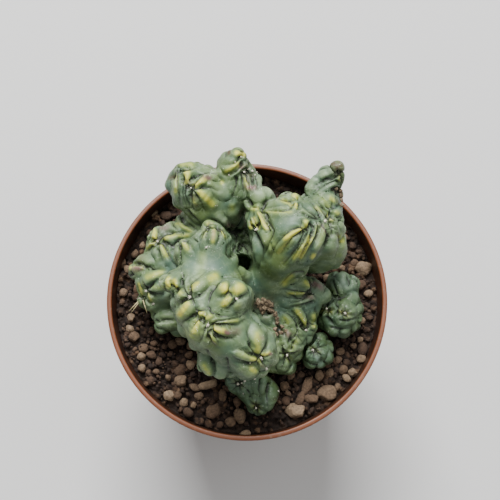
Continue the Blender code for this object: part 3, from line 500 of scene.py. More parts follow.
# Colour along the skin, by kind: frame x and y of both ends, half-width there, strength.
skinTints = {
    "warm": [
        (187, 171, 186, 180, 3.5, 0.9), (195, 184, 204, 179, 3, 0.85), (200, 192, 212, 204, 3.2, 0.8),
        (176, 175, 175, 192, 2.8, 0.5), (192, 164, 181, 164, 3, 0.5), (237, 153, 244, 154, 2.6, 1.0),
        (226, 172, 238, 164, 2.8, 0.7), (246, 178, 247, 188, 2.2, 0.6), (193, 200, 194, 203, 2.5, 0.5),
        (222, 182, 222, 183, 2, 0.6), (232, 207, 232, 209, 3, 0.4), (153, 231, 154, 238, 3.5, 0.9),
        (144, 233, 144, 236, 3, 0.75), (153, 242, 146, 247, 2.6, 0.75), (161, 245, 166, 255, 3, 0.6),
        (175, 221, 190, 231, 2.6, 0.5), (164, 238, 174, 235, 2.6, 0.65), (178, 235, 188, 235, 2.6, 0.5),
        (128, 268, 133, 265, 2.4, 0.8), (141, 267, 142, 268, 1.6, 0.6), (148, 277, 161, 272, 3.5, 0.6),
        (139, 285, 140, 294, 2.6, 0.7), (146, 294, 150, 300, 2.2, 0.6), (153, 287, 163, 288, 2.6, 0.4),
        (153, 222, 153, 228, 3, 0.5), (175, 210, 178, 212, 3, 0.35), (168, 279, 168, 286, 3, 1.0),
        (174, 281, 175, 287, 2.6, 0.9), (187, 304, 180, 314, 2.8, 1.0), (185, 306, 182, 312, 6, 0.45),
        (191, 288, 197, 283, 3, 0.75), (211, 278, 215, 276, 4, 0.7), (224, 287, 226, 290, 4.6, 0.95),
        (240, 287, 237, 290, 4.6, 0.95), (228, 299, 224, 304, 3.5, 0.85), (239, 305, 237, 307, 3, 0.35),
        (183, 243, 187, 248, 3, 0.65), (214, 230, 213, 242, 2.2, 0.6), (208, 223, 212, 223, 2.4, 0.75),
        (222, 229, 226, 236, 2.4, 0.6), (204, 229, 202, 236, 2, 0.5), (199, 313, 202, 313, 3.4, 0.8),
        (206, 318, 210, 316, 3, 0.6), (197, 321, 194, 331, 3, 0.9), (190, 334, 196, 334, 5, 0.4),
        (214, 329, 223, 331, 3, 1.0), (210, 335, 214, 343, 2.4, 0.5), (257, 334, 258, 352, 4, 0.55),
        (240, 354, 252, 358, 3.4, 0.4), (252, 359, 259, 361, 2.8, 0.7), (264, 356, 269, 353, 2, 0.85),
        (252, 369, 255, 371, 3, 0.65), (204, 366, 209, 374, 3, 0.5), (225, 322, 238, 321, 1.8, 0.5),
        (178, 291, 180, 293, 3, 0.6), (202, 255, 201, 275, 4, 0.3), (301, 229, 286, 238, 3.4, 1.0),
        (290, 240, 279, 252, 4, 0.5), (304, 246, 294, 258, 3, 0.6), (311, 238, 301, 257, 3, 0.8),
        (319, 226, 316, 238, 2.2, 0.55), (325, 226, 320, 244, 2.6, 0.35), (313, 257, 314, 256, 2.4, 0.9),
        (295, 195, 296, 196, 3, 1.0), (295, 204, 296, 205, 2.6, 1.0), (306, 221, 307, 226, 3, 0.7),
        (264, 211, 291, 212, 2.2, 0.5), (282, 199, 290, 203, 3, 0.6), (259, 213, 266, 228, 2.4, 0.9),
        (253, 218, 257, 228, 2, 0.95), (250, 222, 250, 228, 2, 0.8), (253, 208, 257, 208, 2.8, 0.7),
        (331, 198, 334, 200, 3, 0.6), (331, 219, 333, 219, 2.6, 0.6), (336, 212, 338, 214, 2.6, 0.5),
        (316, 206, 328, 214, 2, 0.5), (340, 236, 343, 241, 2.4, 0.6), (268, 240, 282, 262, 6, 0.3),
        (324, 200, 329, 205, 3, 0.4), (340, 176, 341, 182, 2, 0.5), (292, 278, 284, 284, 3, 0.55),
        (289, 294, 304, 293, 2.2, 0.55), (297, 311, 306, 325, 3, 0.6), (314, 316, 315, 320, 3, 0.5),
        (314, 326, 316, 326, 2.6, 0.6), (285, 318, 288, 322, 3, 0.45), (297, 341, 291, 350, 2.4, 0.4),
        (306, 282, 309, 285, 2.6, 0.6), (288, 360, 290, 360, 2.4, 0.4),
    ],
    "blush": [
        (205, 177, 209, 178, 2.2, 0.8), (242, 165, 242, 166, 2, 0.9), (229, 226, 232, 227, 3, 0.6),
        (162, 226, 165, 227, 3.4, 0.6), (134, 268, 139, 268, 2.6, 0.9), (214, 231, 213, 238, 1.6, 0.5),
        (226, 332, 228, 333, 1.8, 1.0), (230, 332, 238, 331, 3, 0.35), (260, 337, 262, 338, 1.8, 0.4),
        (270, 354, 271, 354, 1.4, 1.0), (248, 187, 254, 187, 2.4, 1.0), (323, 224, 328, 234, 1.3, 1.0),
        (315, 283, 321, 287, 3, 0.6), (287, 333, 289, 335, 2.6, 0.7), (307, 296, 312, 297, 2.6, 0.5),
    ],
    "scar": [
        (189, 182, 189, 186, 2.6, 0.7), (192, 197, 194, 199, 2.2, 0.7), (229, 150, 229, 153, 1.8, 1.0),
        (242, 166, 248, 164, 3.4, 0.4), (248, 158, 262, 172, 2.8, 0.5), (246, 174, 254, 174, 2, 0.6),
        (249, 178, 249, 186, 1.4, 0.6), (170, 178, 172, 176, 2, 0.8), (174, 166, 174, 170, 1.6, 0.7),
        (195, 205, 197, 206, 1.8, 0.6), (159, 237, 161, 237, 2, 0.5), (133, 256, 140, 257, 3.4, 0.6),
        (179, 314, 180, 315, 2, 0.6), (209, 339, 214, 344, 2, 0.5), (261, 365, 265, 367, 2, 0.6),
        (336, 190, 343, 192, 2.4, 0.8), (339, 195, 339, 203, 1.6, 0.5), (338, 170, 340, 165, 4, 1.0),
        (339, 166, 332, 163, 3.4, 1.0), (259, 304, 268, 306, 5.5, 1.0), (270, 310, 274, 314, 3, 0.8),
        (277, 319, 277, 322, 2.2, 0.8), (276, 334, 281, 331, 3, 0.5), (262, 316, 266, 318, 2.6, 0.4),
    ],
    "bloom": [
        (219, 219, 226, 223, 3, 0.8), (153, 318, 153, 321, 1.6, 0.9), (196, 275, 204, 260, 5, 0.7),
        (185, 282, 187, 276, 2.6, 0.6), (200, 303, 201, 305, 2.4, 0.6), (249, 363, 251, 364, 1.6, 1.0),
        (254, 328, 256, 334, 3, 0.6), (258, 191, 266, 192, 4, 0.4), (316, 178, 330, 172, 4, 0.5),
        (240, 305, 248, 300, 4, 0.25), (282, 334, 285, 340, 1.6, 0.6), (285, 345, 287, 348, 1.8, 0.5),
        (270, 283, 280, 282, 3, 0.3),
    ],
}
offsetTints = {
    "warm": [
        (255, 407, 257, 409, 4, 0.5), (323, 310, 330, 311, 3.5, 0.5), (341, 311, 348, 315, 3.5, 0.5),
        (311, 347, 318, 352, 3, 0.4), (234, 382, 242, 386, 3, 0.3),
    ],
    "scar": [
        (235, 374, 236, 375, 2, 0.8),
    ],
    "bloom": [
        (235, 384, 241, 384, 2.6, 0.5), (256, 401, 256, 404, 1.4, 0.8), (267, 399, 267, 402, 1.4, 0.8),
        (324, 304, 331, 304, 1.6, 0.5), (335, 280, 345, 284, 5, 0.5), (322, 297, 330, 299, 3, 0.5),
        (315, 338, 317, 342, 2, 0.5), (317, 357, 318, 360, 1.6, 0.5),
    ],
}

# The fleshy pads, along the line of sight: frame x and y of both ends, width, and how yellow the crest is.
cactusPads = [
    # rear left head
    (176, 170, 178, 205, 7, 0.35), (183, 184, 186, 206, 8), (178, 166, 201, 163, 8, 0.45),
    (184, 169, 189, 181, 7, 0.9), (189, 183, 190, 185, 7), (194, 186, 206, 177, 8, 0.8),
    (194, 190, 213, 204, 13, 0.6), (193, 197, 196, 208, 7), (203, 175, 222, 174, 8, 0.5),
    (209, 186, 226, 196, 9), (229, 152, 245, 155, 7, 0.95), (225, 170, 240, 159, 8, 0.7),
    (233, 175, 247, 166, 8, 0.6), (235, 190, 247, 178, 9), (241, 176, 242, 195, 8, 0.5),
    (247, 174, 250, 190, 7, 0.75), (257, 172, 258, 188, 8), (251, 160, 259, 168, 8),
    # dark head behind the middle
    (231, 205, 236, 223, 11), (219, 217, 229, 226, 7, 0.4), (230, 227, 232, 228, 7),
    (240, 227, 242, 224, 9), (227, 233, 235, 234, 5), (239, 237, 241, 235, 6), (245, 239, 247, 240, 6),
    (231, 249, 233, 254, 8), (237, 245, 239, 243, 6), (244, 247, 245, 258, 9),
    # left head
    (190, 211, 206, 226, 10), (182, 213, 200, 231, 9), (173, 218, 195, 233, 8), (165, 221, 178, 232, 12),
    (159, 221, 154, 239, 8), (150, 224, 147, 231, 8, 0.7), (144, 233, 146, 237, 8, 0.8),
    (141, 240, 139, 247, 7, 0.6), (153, 242, 142, 250, 7, 1), (164, 239, 178, 237, 9),
    (159, 245, 168, 260, 10, 0.5), (154, 246, 158, 258, 6), (132, 257, 150, 263, 10),
    (129, 267, 131, 275, 8, 0.9), (134, 268, 143, 267, 8), (143, 283, 165, 273, 11, 0.65),
    (150, 290, 163, 284, 10, 0.4), (147, 292, 153, 301, 6, 0.6), (138, 282, 141, 296, 7, 0.7),
    (146, 303, 151, 309, 8),
    # left finger
    (156, 319, 176, 315, 9, 0.4), (158, 324, 176, 324, 8),
    # front limb: rear finger and shoulder
    (214, 229, 213, 246, 10, 0.65), (209, 231, 203, 246, 7, 0.4), (221, 229, 226, 241, 7, 0.85),
    (182, 241, 190, 250, 9, 0.85), (176, 243, 180, 260, 8), (188, 240, 196, 248, 6),
    (168, 279, 171, 288, 8, 1), (175, 281, 177, 287, 8, 1),
    # front limb: crown around the first centre
    (184, 282, 187, 294, 9), (185, 289, 205, 273, 7, 0.6), (192, 291, 212, 275, 9, 0.85),
    (168, 293, 174, 300, 9), (177, 293, 187, 297, 9, 0.75), (194, 300, 179, 317, 15, 0.6),
    (199, 313, 201, 314, 9), (197, 320, 192, 336, 11, 0.8), (204, 317, 214, 314, 7),
    # front limb: raised knob
    (224, 288, 226, 289, 13, 1), (240, 288, 241, 289, 14, 1), (233, 297, 224, 306, 9),
    (236, 297, 239, 307, 8),
    # front limb: crown around the second centre and the tip
    (213, 323, 242, 317, 8), (213, 329, 228, 333, 8, 1), (211, 335, 217, 344, 7), (203, 326, 206, 340, 8),
    (255, 326, 261, 355, 13, 0.15), (234, 354, 257, 361, 11, 0.75), (263, 357, 272, 352, 7, 1),
    (248, 346, 258, 356, 8), (260, 364, 265, 368, 6), (203, 358, 210, 374, 12, 0.4),
    (222, 362, 220, 377, 14, 0.2), (241, 365, 252, 374, 13, 0.3),
    # rear right head
    (252, 188, 258, 194, 8), (256, 194, 270, 193, 15), (246, 203, 249, 207, 6), (245, 214, 248, 220, 6),
    (252, 208, 259, 207, 7, 0.75), (258, 212, 266, 228, 8, 0.95), (252, 218, 257, 228, 6, 0.95),
    (249, 221, 251, 228, 5, 0.65), (294, 196, 296, 197, 9, 0.75), (295, 204, 296, 204, 8, 0.65),
    (280, 194, 291, 196, 8), (268, 205, 291, 200, 12), (264, 212, 298, 210, 9, 0.4),
    (306, 221, 307, 223, 11), (303, 228, 276, 247, 11, 0.95), (304, 234, 292, 253, 7, 0.85),
    (309, 232, 291, 262, 9, 0.55), (318, 223, 302, 262, 9, 0.75), (325, 230, 311, 262, 11, 0.65),
    (300, 211, 318, 219, 8, 0.5), (306, 199, 325, 216, 8), (312, 197, 331, 211, 7), (332, 198, 334, 199, 9),
    (337, 212, 338, 214, 9), (331, 219, 333, 220, 8), (341, 220, 342, 222, 8), (334, 228, 335, 230, 9),
    (334, 237, 331, 256, 9), (343, 237, 341, 255, 9, 0.65), (309, 191, 316, 179, 12),
    (316, 178, 330, 171, 9, 0.4), (317, 191, 340, 179, 8), (341, 175, 343, 187, 7), (262, 233, 270, 250, 7),
    (254, 240, 258, 262, 8),
    # right limb
    (291, 276, 311, 284, 12, 0.5), (313, 281, 321, 287, 7), (283, 292, 307, 293, 7, 0.45),
    (310, 297, 312, 297, 9), (286, 304, 311, 299, 8), (296, 309, 306, 322, 10), (312, 313, 315, 320, 7),
    (320, 318, 323, 322, 6), (313, 326, 315, 327, 8),
    # front right limb
    (262, 303, 264, 307, 13), (265, 317, 268, 318, 10), (277, 318, 277, 319, 6), (277, 324, 277, 325, 6),
    (275, 329, 276, 330, 6), (282, 327, 283, 328, 6), (281, 333, 281, 334, 6), (284, 313, 297, 325, 9),
    (298, 327, 298, 336, 9), (287, 334, 289, 336, 9), (293, 337, 304, 344, 9), (284, 346, 284, 348, 7),
    (275, 352, 283, 356, 8), (292, 352, 302, 346, 10), (285, 363, 284, 369, 8),
]
offsetRightPads = [
    (343, 270, 342, 284, 9), (357, 279, 347, 290, 9), (335, 280, 338, 292, 8), (350, 293, 359, 301, 8),
    (328, 299, 327, 307, 7), (320, 308, 326, 309, 7), (334, 305, 328, 308, 7), (332, 316, 328, 310, 7),
    (323, 317, 327, 310, 6), (346, 304, 345, 312, 7), (354, 309, 347, 313, 8), (352, 320, 346, 315, 8),
    (339, 320, 344, 314, 8), (337, 309, 343, 312, 7), (331, 327, 333, 335, 8), (345, 330, 345, 339, 8),
    (357, 329, 356, 336, 7), (364, 315, 363, 322, 6),
]
offsetFrontRightPads = [
    (313, 340, 313, 349, 7), (322, 345, 315, 350, 7), (322, 356, 315, 351, 8), (313, 362, 313, 352, 8),
    (304, 356, 311, 351, 7), (305, 344, 311, 349, 7), (320, 365, 323, 368, 7), (331, 338, 332, 350, 6),
]
offsetFrontPads = [
    (231, 374, 236, 383, 6), (225, 384, 236, 384, 7), (229, 392, 237, 386, 8), (240, 394, 239, 386, 6),
    (249, 391, 241, 385, 7), (248, 380, 241, 383, 7), (242, 375, 239, 382, 6), (255, 398, 256, 407, 7),
    (264, 402, 258, 408, 7), (267, 412, 258, 410, 8), (258, 417, 257, 411, 6), (248, 411, 255, 409, 7),
    (249, 402, 255, 407, 7), (270, 391, 268, 409, 13), (262, 376, 262, 390, 12),
]


def addCapsule(shape, first, last, subdivisions=3):  # the skin stretched over two balls
    part = bmesh.new()
    for ball in (first, last):
        place = Matrix.Translation(ball[:3])
        bmesh.ops.create_icosphere(part, subdivisions=subdivisions, radius=ball[3], matrix=place)
    hull = bmesh.ops.convex_hull(part, input=part.verts[:])
    inside = [item for item in hull["geom_interior"] if isinstance(item, bmesh.types.BMVert)]
    bmesh.ops.delete(part, geom=inside, context="VERTS")
    scratch = meshFrom(part, "scratch")
    shape.from_mesh(scratch)
    bpy.data.meshes.remove(scratch)


def capsules(segments, subdivisions=3, shape=None):
    shape = bmesh.new() if shape is None else shape
    for first, last in segments:
        addCapsule(shape, first, last, subdivisions)
    return shape


def voxels(size):  # the modifier that fuses everything into one skin
    return ("REMESH", {"mode": "VOXEL", "voxel_size": size})


def distances(points, first, last):  # from each point to each tapered capsule, and how far along it lies
    along = last[:, :3] - first[:, :3]
    offset = points[:, None, :] - first[None, :, :3]
    share = np.einsum("nkc,kc->nk", offset, along) / np.maximum((along ** 2).sum(1), 1e-9)
    share = np.clip(share, 0, 1)
    gap = np.linalg.norm(offset - share[:, :, None] * along[None], axis=2)
    return gap - (first[None, :, 3] + share * (last - first)[None, :, 3]), share


def smoothJoin(a, b, width):
    share = np.maximum(width - np.abs(a - b), 0) / width
    return np.minimum(a, b) - share * share * width / 4


hollowEnds = [(np.array([*rayAt(x, y, top), radius]), np.array([*rayAt(x, y, bottom), radius * 0.7]))
              for x, y, top, bottom, radius in hollows]


class Skin:  # the plant's surface as a distance, worked out cell by cell so that only near parts count
    cell = 7.0  # all in mm
    limbReach = 6.0
    padReach = 3.0
    farAway = 40.0  # stands for nothing near

    def __init__(self, limbs, pads, shown=0, clear=None):
        self.shown = shown  # how many pads come from the traced table
        self.limbs = np.array(limbs, float)
        self.pads = np.array([list(a) + list(b) for _, a, b in pads], float).reshape(-1, 2, 4)
        self.padOf = np.array([which for which, _, _ in pads], int)
        self.clear = clear  # the plant to keep clear of

    def near(self, segments, low, high, margin):
        if not len(segments):
            return np.zeros(0, int)
        centres, radii = segments[:, :, :3], segments[:, :, 3:]
        least, most = (centres - radii).min(1), (centres + radii).max(1)
        return np.nonzero(np.all((least - margin < high) & (most + margin > low), axis=1))[0]

    def cells(self, points):
        keys = np.floor(points / self.cell).astype(int)
        order = np.lexsort(keys.T)
        ranked = keys[order]
        edges = np.nonzero(np.any(np.diff(ranked, axis=0) != 0, axis=1))[0] + 1
        for group in np.split(order, edges):
            low, high = points[group].min(0), points[group].max(0)
            yield (group, self.near(self.limbs, low, high, self.limbReach),
                   self.near(self.pads, low, high, self.padReach))

    def measure(self, points, plan, full=False):
        count = len(points)
        stems, best, second = (np.full(count, self.farAway) for _ in range(3))
        which, share = np.full(count, -1), np.zeros(count)
        for group, limbIds, padIds in plan:
            here = points[group]
            if len(limbIds):
                gap, _ = distances(here, self.limbs[limbIds, 0], self.limbs[limbIds, 1])
                joined = gap[:, 0]
                for column in range(1, gap.shape[1]):
                    joined = smoothJoin(joined, gap[:, column], skinShape["limbBlend"])
                stems[group] = joined
            if len(padIds):
                gap, along = distances(here, self.pads[padIds, 0], self.pads[padIds, 1])
                owner = self.padOf[padIds]
                starts = np.nonzero(np.r_[True, np.diff(owner) != 0])[0]
                each = np.minimum.reduceat(gap, starts, axis=1)
                first = each.argmin(1)
                rows = np.arange(len(group))
                best[group] = each[rows, first]
                which[group] = owner[starts][first]
                if full:  # how far along its pad, whose two halves follow each other
                    column = gap.argmin(1)
                    share[group] = (along[rows, column] + padIds[column] % 2) / 2
                if each.shape[1] > 1:
                    each[rows, first] = self.farAway
                    second[group] = each.min(1)
        skin = smoothJoin(stems, best, skinShape["padBlend"])
        between = np.exp(-((second - best) / skinShape["grooveWidth"]) ** 2)
        between = between * np.exp(-(np.maximum(best, 0) / 1.2) ** 2)
        between = between * np.where(which < self.shown, skinShape["tracedGroove"], 1.0)
        skin = skin + skinShape["grooveDepth"] * between
        if self.clear is not None:
            apart = self.clear.measure(points, list(self.clear.cells(points)))[0]
            skin = np.maximum(skin, skinShape["clearance"] - apart)
        else:
            for first, last in hollowEnds:
                gap, _ = distances(points, first[None], last[None])
                skin = -smoothJoin(-skin, gap[:, 0], skinShape["hollowBlend"])
        return skin, stems, best, second, between, which, share

    def pull(self, points, rounds=3, step=0.1):  # each round moves a point at most 1 mm towards the surface
        for _ in range(rounds):
            plan = list(self.cells(points))
            here = self.measure(points, plan)[0]
            slope = np.empty_like(points)
            for axis in range(3):
                nudge = np.zeros(3)
                nudge[axis] = step
                ahead, behind = (self.measure(points + side * nudge, plan)[0] for side in (1, -1))
                slope[:, axis] = (ahead - behind) / (2 * step)
            steep = np.maximum(np.linalg.norm(slope, axis=1), 0.6)
            points = points - (np.clip(here, -1.0, 1.0) / steep ** 2)[:, None] * slope
        return points


def innerFirst(padList):  # each pad's end that lies nearest the other pads' ends comes first
    ends = np.array([pad[:4] for pad in padList], float).reshape(-1, 2)
    apart = np.linalg.norm(ends[:, None] - ends[None], axis=2)
    company = np.exp(-(apart / 7.0) ** 2)
    turned = []
    for index, pad in enumerate(padList):
        own = slice(2 * index, 2 * index + 2)
        company[own, own] = 0
    score = company.sum(1)
    for index, pad in enumerate(padList):
        swap = score[2 * index + 1] > score[2 * index]
        turned.append((pad[2], pad[3], pad[0], pad[1]) + tuple(pad[4:]) if swap else tuple(pad))
    return turned


padShape = {  # a traced pad as three balls on the skin, plump at its inner end and sinking at the outer one
    "inset": (0.2, 0.22),  # the first ball's centre lies inside the end by a share of the length or width
    "middle": 0.45,  # where the second ball lies along the pad
    "balls": ((0.74, 0.1), (1.0, 0.0), (0.55, -0.35)),  # each one's share of the width, and its lift in mm
    "stubby": (1.2, 0.3, 0.35),  # a pad under so many widths long has a wider and higher outer ball
    "strayed": (1.8, 0.85),  # past so many mm and so much of its length a ball has fallen over an edge
    "behind": 0.6,
    "rise": (0.6, 0.25, 0.42),  # broad pads stand less proud than round ones
}


def padBalls(tree, pad, values):
    x1, y1, x2, y2, width = pad[:5]
    length = math.hypot(x2 - x1, y2 - y1)
    inset = min(values["inset"][0], values["inset"][1] * width / max(length, 1))
    x1, y1 = x1 + (x2 - x1) * inset, y1 + (y2 - y1) * inset
    x3, y3 = x1 + (x2 - x1) * values["middle"], y1 + (y2 - y1) * values["middle"]
    middle, _ = seatOn(tree, x3, y3)
    depth = (sight["eye"] - middle).length
    stubby, wider, higher = values["stubby"]
    short = max(0.0, 1 - length / (stubby * width))
    strayed, ofLength = values["strayed"]
    steep, least, broad = values["rise"]
    balls = []
    for index, (x, y) in enumerate(((x1, y1), (x3, y3), (x2, y2))):
        share, lift = values["balls"][index]
        if index == 2:
            share, lift = share + wider * short, lift + higher * short
        place, normal = seatOn(tree, x, y)
        if (place - middle).length > strayed + ofLength * length * depth / sight["focal"]:
            place, normal, _, _ = tree.find_nearest(sight["eye"] + sightRay(x, y) * (depth + values["behind"]))
        half = share * width * skinShape["padWidth"] * 0.5 * depth / sight["focal"]
        rise = min(steep * half, least + broad * half)
        radius = (half * half + rise * rise) / (2 * rise)
        sunk = place - normal * (radius - rise - lift)
        balls.append((sunk.x, sunk.y, sunk.z, radius))
    return balls


hiddenPads = {  # upright pads over the sides that the line of sight doesn't reach, in mm
    "aboveSoil": 5,
    "slopes": (-0.6, 0.45),  # how far down and up the skin may face
    "unseen": 1.5,
    "apart": 6.0,
    "lean": 0.5,
    "halfLength": (2.6, 3.8),
    "radius": (2.1, 2.8),
    "sunk": 0.42,
    "balls": ((-1, 0.7), (0, 1.0), (1, 0.75)),
}


def sidePads(mesh, tree, seed, values):
    rng = random.Random(seed)
    chosen, pads = [], []
    faces = list(mesh.polygons)
    rng.shuffle(faces)
    least, most = values["slopes"]
    for face in faces:
        centre, normal = face.center.copy(), face.normal.copy()
        if centre.z < soilLevel + values["aboveSoil"] or normal.z > most or normal.z < least:
            continue
        seen, _, _, _ = tree.ray_cast(sight["eye"], (centre - sight["eye"]).normalized())
        if seen is not None and (seen - centre).length < values["unseen"]:
            continue
        if any((centre - other).length < values["apart"] for other in chosen):
            continue
        chosen.append(centre)
        up = (Vector((0, 0, 1)) - normal * normal.z).normalized()
        lean = up.cross(normal) * rng.uniform(-values["lean"], values["lean"])
        reach = (up + lean).normalized() * rng.uniform(*values["halfLength"])
        radius = rng.uniform(*values["radius"])
        balls = []
        for share, width in values["balls"]:
            place, facing, _, _ = tree.find_nearest(centre + reach * share)
            size = radius * width
            sunk = place - facing * (size * values["sunk"])
            balls.append((sunk.x, sunk.y, sunk.z, size))
        pads.append(balls)
    return pads


def lineDistance(x, y, first, last):  # in the frame, with how far along the line the nearest place lies
    dx, dy = last[0] - first[0], last[1] - first[1]
    share = np.clip(((x - first[0]) * dx + (y - first[1]) * dy) / max(dx * dx + dy * dy, 1e-6), 0, 1)
    return np.hypot(x - first[0] - share * dx, y - first[1] - share * dy), share


def seenShare(mesh, places, normals):  # 1 where the eye sees the skin squarely, 0 where it doesn't
    tree = treeOf(mesh)
    toEye = np.array(sight["eye"]) - places
    toEye /= np.linalg.norm(toEye, axis=1)[:, None]
    square = np.clip(((normals * toEye).sum(1) - 0.08) / 0.3, 0, 1)
    for index in np.nonzero(square > 0)[0]:
        start = Vector(places[index] + toEye[index] * 0.5 + normals[index] * 0.25)
        if tree.ray_cast(start, Vector(toEye[index]))[0] is not None:
            square[index] = 0
    return square


def foldDepth(places, folds, seen):  # how deep the traced creases lie at each place, broadly and sharply
    broad, sharp = np.zeros(len(places)), np.zeros(len(places))
    x, y = frameOf(places)
    margin = skinShape["creaseReach"]
    deep, lost = skinShape["creaseFade"]
    for fold in folds:
        points = list(zip(fold[::2], fold[1::2]))
        lengths = [math.dist(a, b) for a, b in zip(points[:-1], points[1:])]
        run, total = 0.0, sum(lengths)
        for first, last, length in zip(points[:-1], points[1:], lengths):
            inside = (x > min(first[0], last[0]) - margin) & (x < max(first[0], last[0]) + margin)
            inside &= (y > min(first[1], last[1]) - margin) & (y < max(first[1], last[1]) + margin)
            near = np.nonzero(inside & (seen > 0))[0]
            far, share = lineDistance(x[near], y[near], first, last)
            along = (run + share * length) / total
            depth = np.clip(deep - lost * along, 0, 1) * seen[near]
            broad[near] = np.maximum(broad[near], depth * np.exp(-(far / skinShape["swellWidth"]) ** 2))
            sharp[near] = np.maximum(sharp[near], depth * np.exp(-(far / skinShape["cutWidth"]) ** 2))
            run += length
    return broad, sharp


skinMarks = {  # how the painted colours follow the shape
    "yellow": (0.16, 0.12),  # of a pad that has no level of its own, and of a hidden one
    "crest": 1.5,  # mm above the limb for the full paleness, which is partly a painted highlight
    "ridge": 1.4,  # mm above limb and neighbour, highest along each pad's own middle
    "streak": (1.2, 0.95),  # strongest towards the star's middle, and how much is lost along the pad
    "facing": (1.6, 0.2),  # yellow grows where the skin faces up
    # how fast the painted shade on the sides grows as the skin turns from facing up
    "flankShade": 1.3,
    "tint": 1.25,  # a tint's fading distance over its half-width
}


def growPlant(name, node, limbs, foot, padList, seed, material, folds, tints, clear=None):
    segments = [pair for chains in limbs.values() for chain in chains for pair in zip(chain[:-1], chain[1:])]
    radius = min(foot[2], foot[3])
    base = soilLevel - skinShape["buried"]
    segments.append(((foot[0], foot[1], base, radius), (foot[0], foot[1], soilLevel + 6, radius)))
    # The bare limbs seat the pads.
    smooth = shaped(meshFrom(capsules(segments), name + "Stems"), [voxels(skinShape["roughVoxel"])])
    setPlaces(smooth, Skin(segments, []).pull(placesOf(smooth), 2))
    tree = treeOf(smooth)
    padList = innerFirst(padList)
    shown = [padBalls(tree, pad, padShape) for pad in padList]
    hidden = sidePads(smooth, tree, seed, hiddenPads)
    pads = []
    for which, balls in enumerate(shown + hidden):
        pads += [(which, *pair) for pair in zip(balls[:-1], balls[1:])]
    plain, unseen = skinMarks["yellow"]
    yellow = [pad[5] if len(pad) > 5 else plain for pad in padList] + [unseen] * len(hidden) + [0.0]
    # Limbs and pads are fused, then pulled onto the soft surface.
    full = capsules([(first, last) for _, first, last in pads], 2, capsules(segments))
    body = shaped(meshFrom(full, name), [voxels(skinShape["voxel"])])
    if clear is None:
        tools = capsules([(tuple(first), tuple(last)) for first, last in hollowEnds])
        body = cutAway(body, tools, [voxels(skinShape["voxel"])])
    skin = Skin(segments, pads, len(padList), clear)
    setPlaces(body, skin.pull(placesOf(body)))
    shape = bmesh.new()
    shape.from_mesh(body)
    everything = shape.verts[:] + shape.edges[:] + shape.faces[:]
    # The foot ends below the soil's surface.
    cut = bmesh.ops.bisect_plane(shape, geom=everything, plane_co=(0, 0, base), plane_no=(0, 0, 1),
                                 clear_inner=True)
    rim = [item for item in cut["geom_cut"] if isinstance(item, bmesh.types.BMEdge)]
    bmesh.ops.holes_fill(shape, edges=rim, sides=0)
    bmesh.ops.triangulate(shape, faces=shape.faces[:])
    body = meshFrom(shape, name)
    if len(body.polygons) > skinShape["mostFaces"]:
        body = shaped(body, [("DECIMATE", {"ratio": skinShape["mostFaces"] / len(body.polygons)})])
    # What the material reads is painted before the creases sink.
    places, normals = placesOf(body), placesOf(body, "normal")
    seen = seenShare(body, places, normals)
    broad, sharp = foldDepth(places, folds, seen)
    _, stem, best, second, between, which, share = skin.measure(places, list(skin.cells(places)), True)
    crest = np.clip((stem - best) / skinMarks["crest"], 0, 1)
    ridge = np.clip((np.minimum(stem, second) - best) / skinMarks["ridge"], 0, 1)
    streak = np.clip(skinMarks["streak"][0] - skinMarks["streak"][1] * share, 0, 1)
    facing = np.clip(normals[:, 2] * skinMarks["facing"][0] + skinMarks["facing"][1], 0, 1)
    # The crests are painted paler, partly real bloom and partly a highlight on the raised tops, less so down in
    # the folds.
    paint(body, "crest", crest * (0.4 + 0.6 * ridge) * (1 - 0.7 * broad))
    # painted shade along the grooves between pads and along the traced creases
    paint(body, "creaseShade", np.maximum(between, sharp))
    # painted shade on the sides, growing as the skin turns from facing up
    paint(body, "flankShade", 1 - np.clip(normals[:, 2] * skinMarks["flankShade"], 0, 1))
    marks = {kind: np.zeros(len(places)) for kind in ("warm", "blush", "scar", "bloom")}
    marks["warm"] = np.array(yellow)[which] * ridge * streak * facing * (1 - 0.6 * seen)
    for kind, streaks in tints.items():
        for x1, y1, x2, y2, radius, strength in streaks:
            far = lineDistance(*frameOf(places), (x1, y1), (x2, y2))[0] / (radius * skinMarks["tint"])
            marks[kind] = np.maximum(marks[kind], strength * np.exp(-far ** 2) * seen)
    for kind, values in marks.items():
        paint(body, kind, values)
    sink = skinShape["swell"] * broad + skinShape["cut"] * sharp
    setPlaces(body, places - normals * sink[:, None])
    finishPiece(name, body, material, node)
    return skin, tree
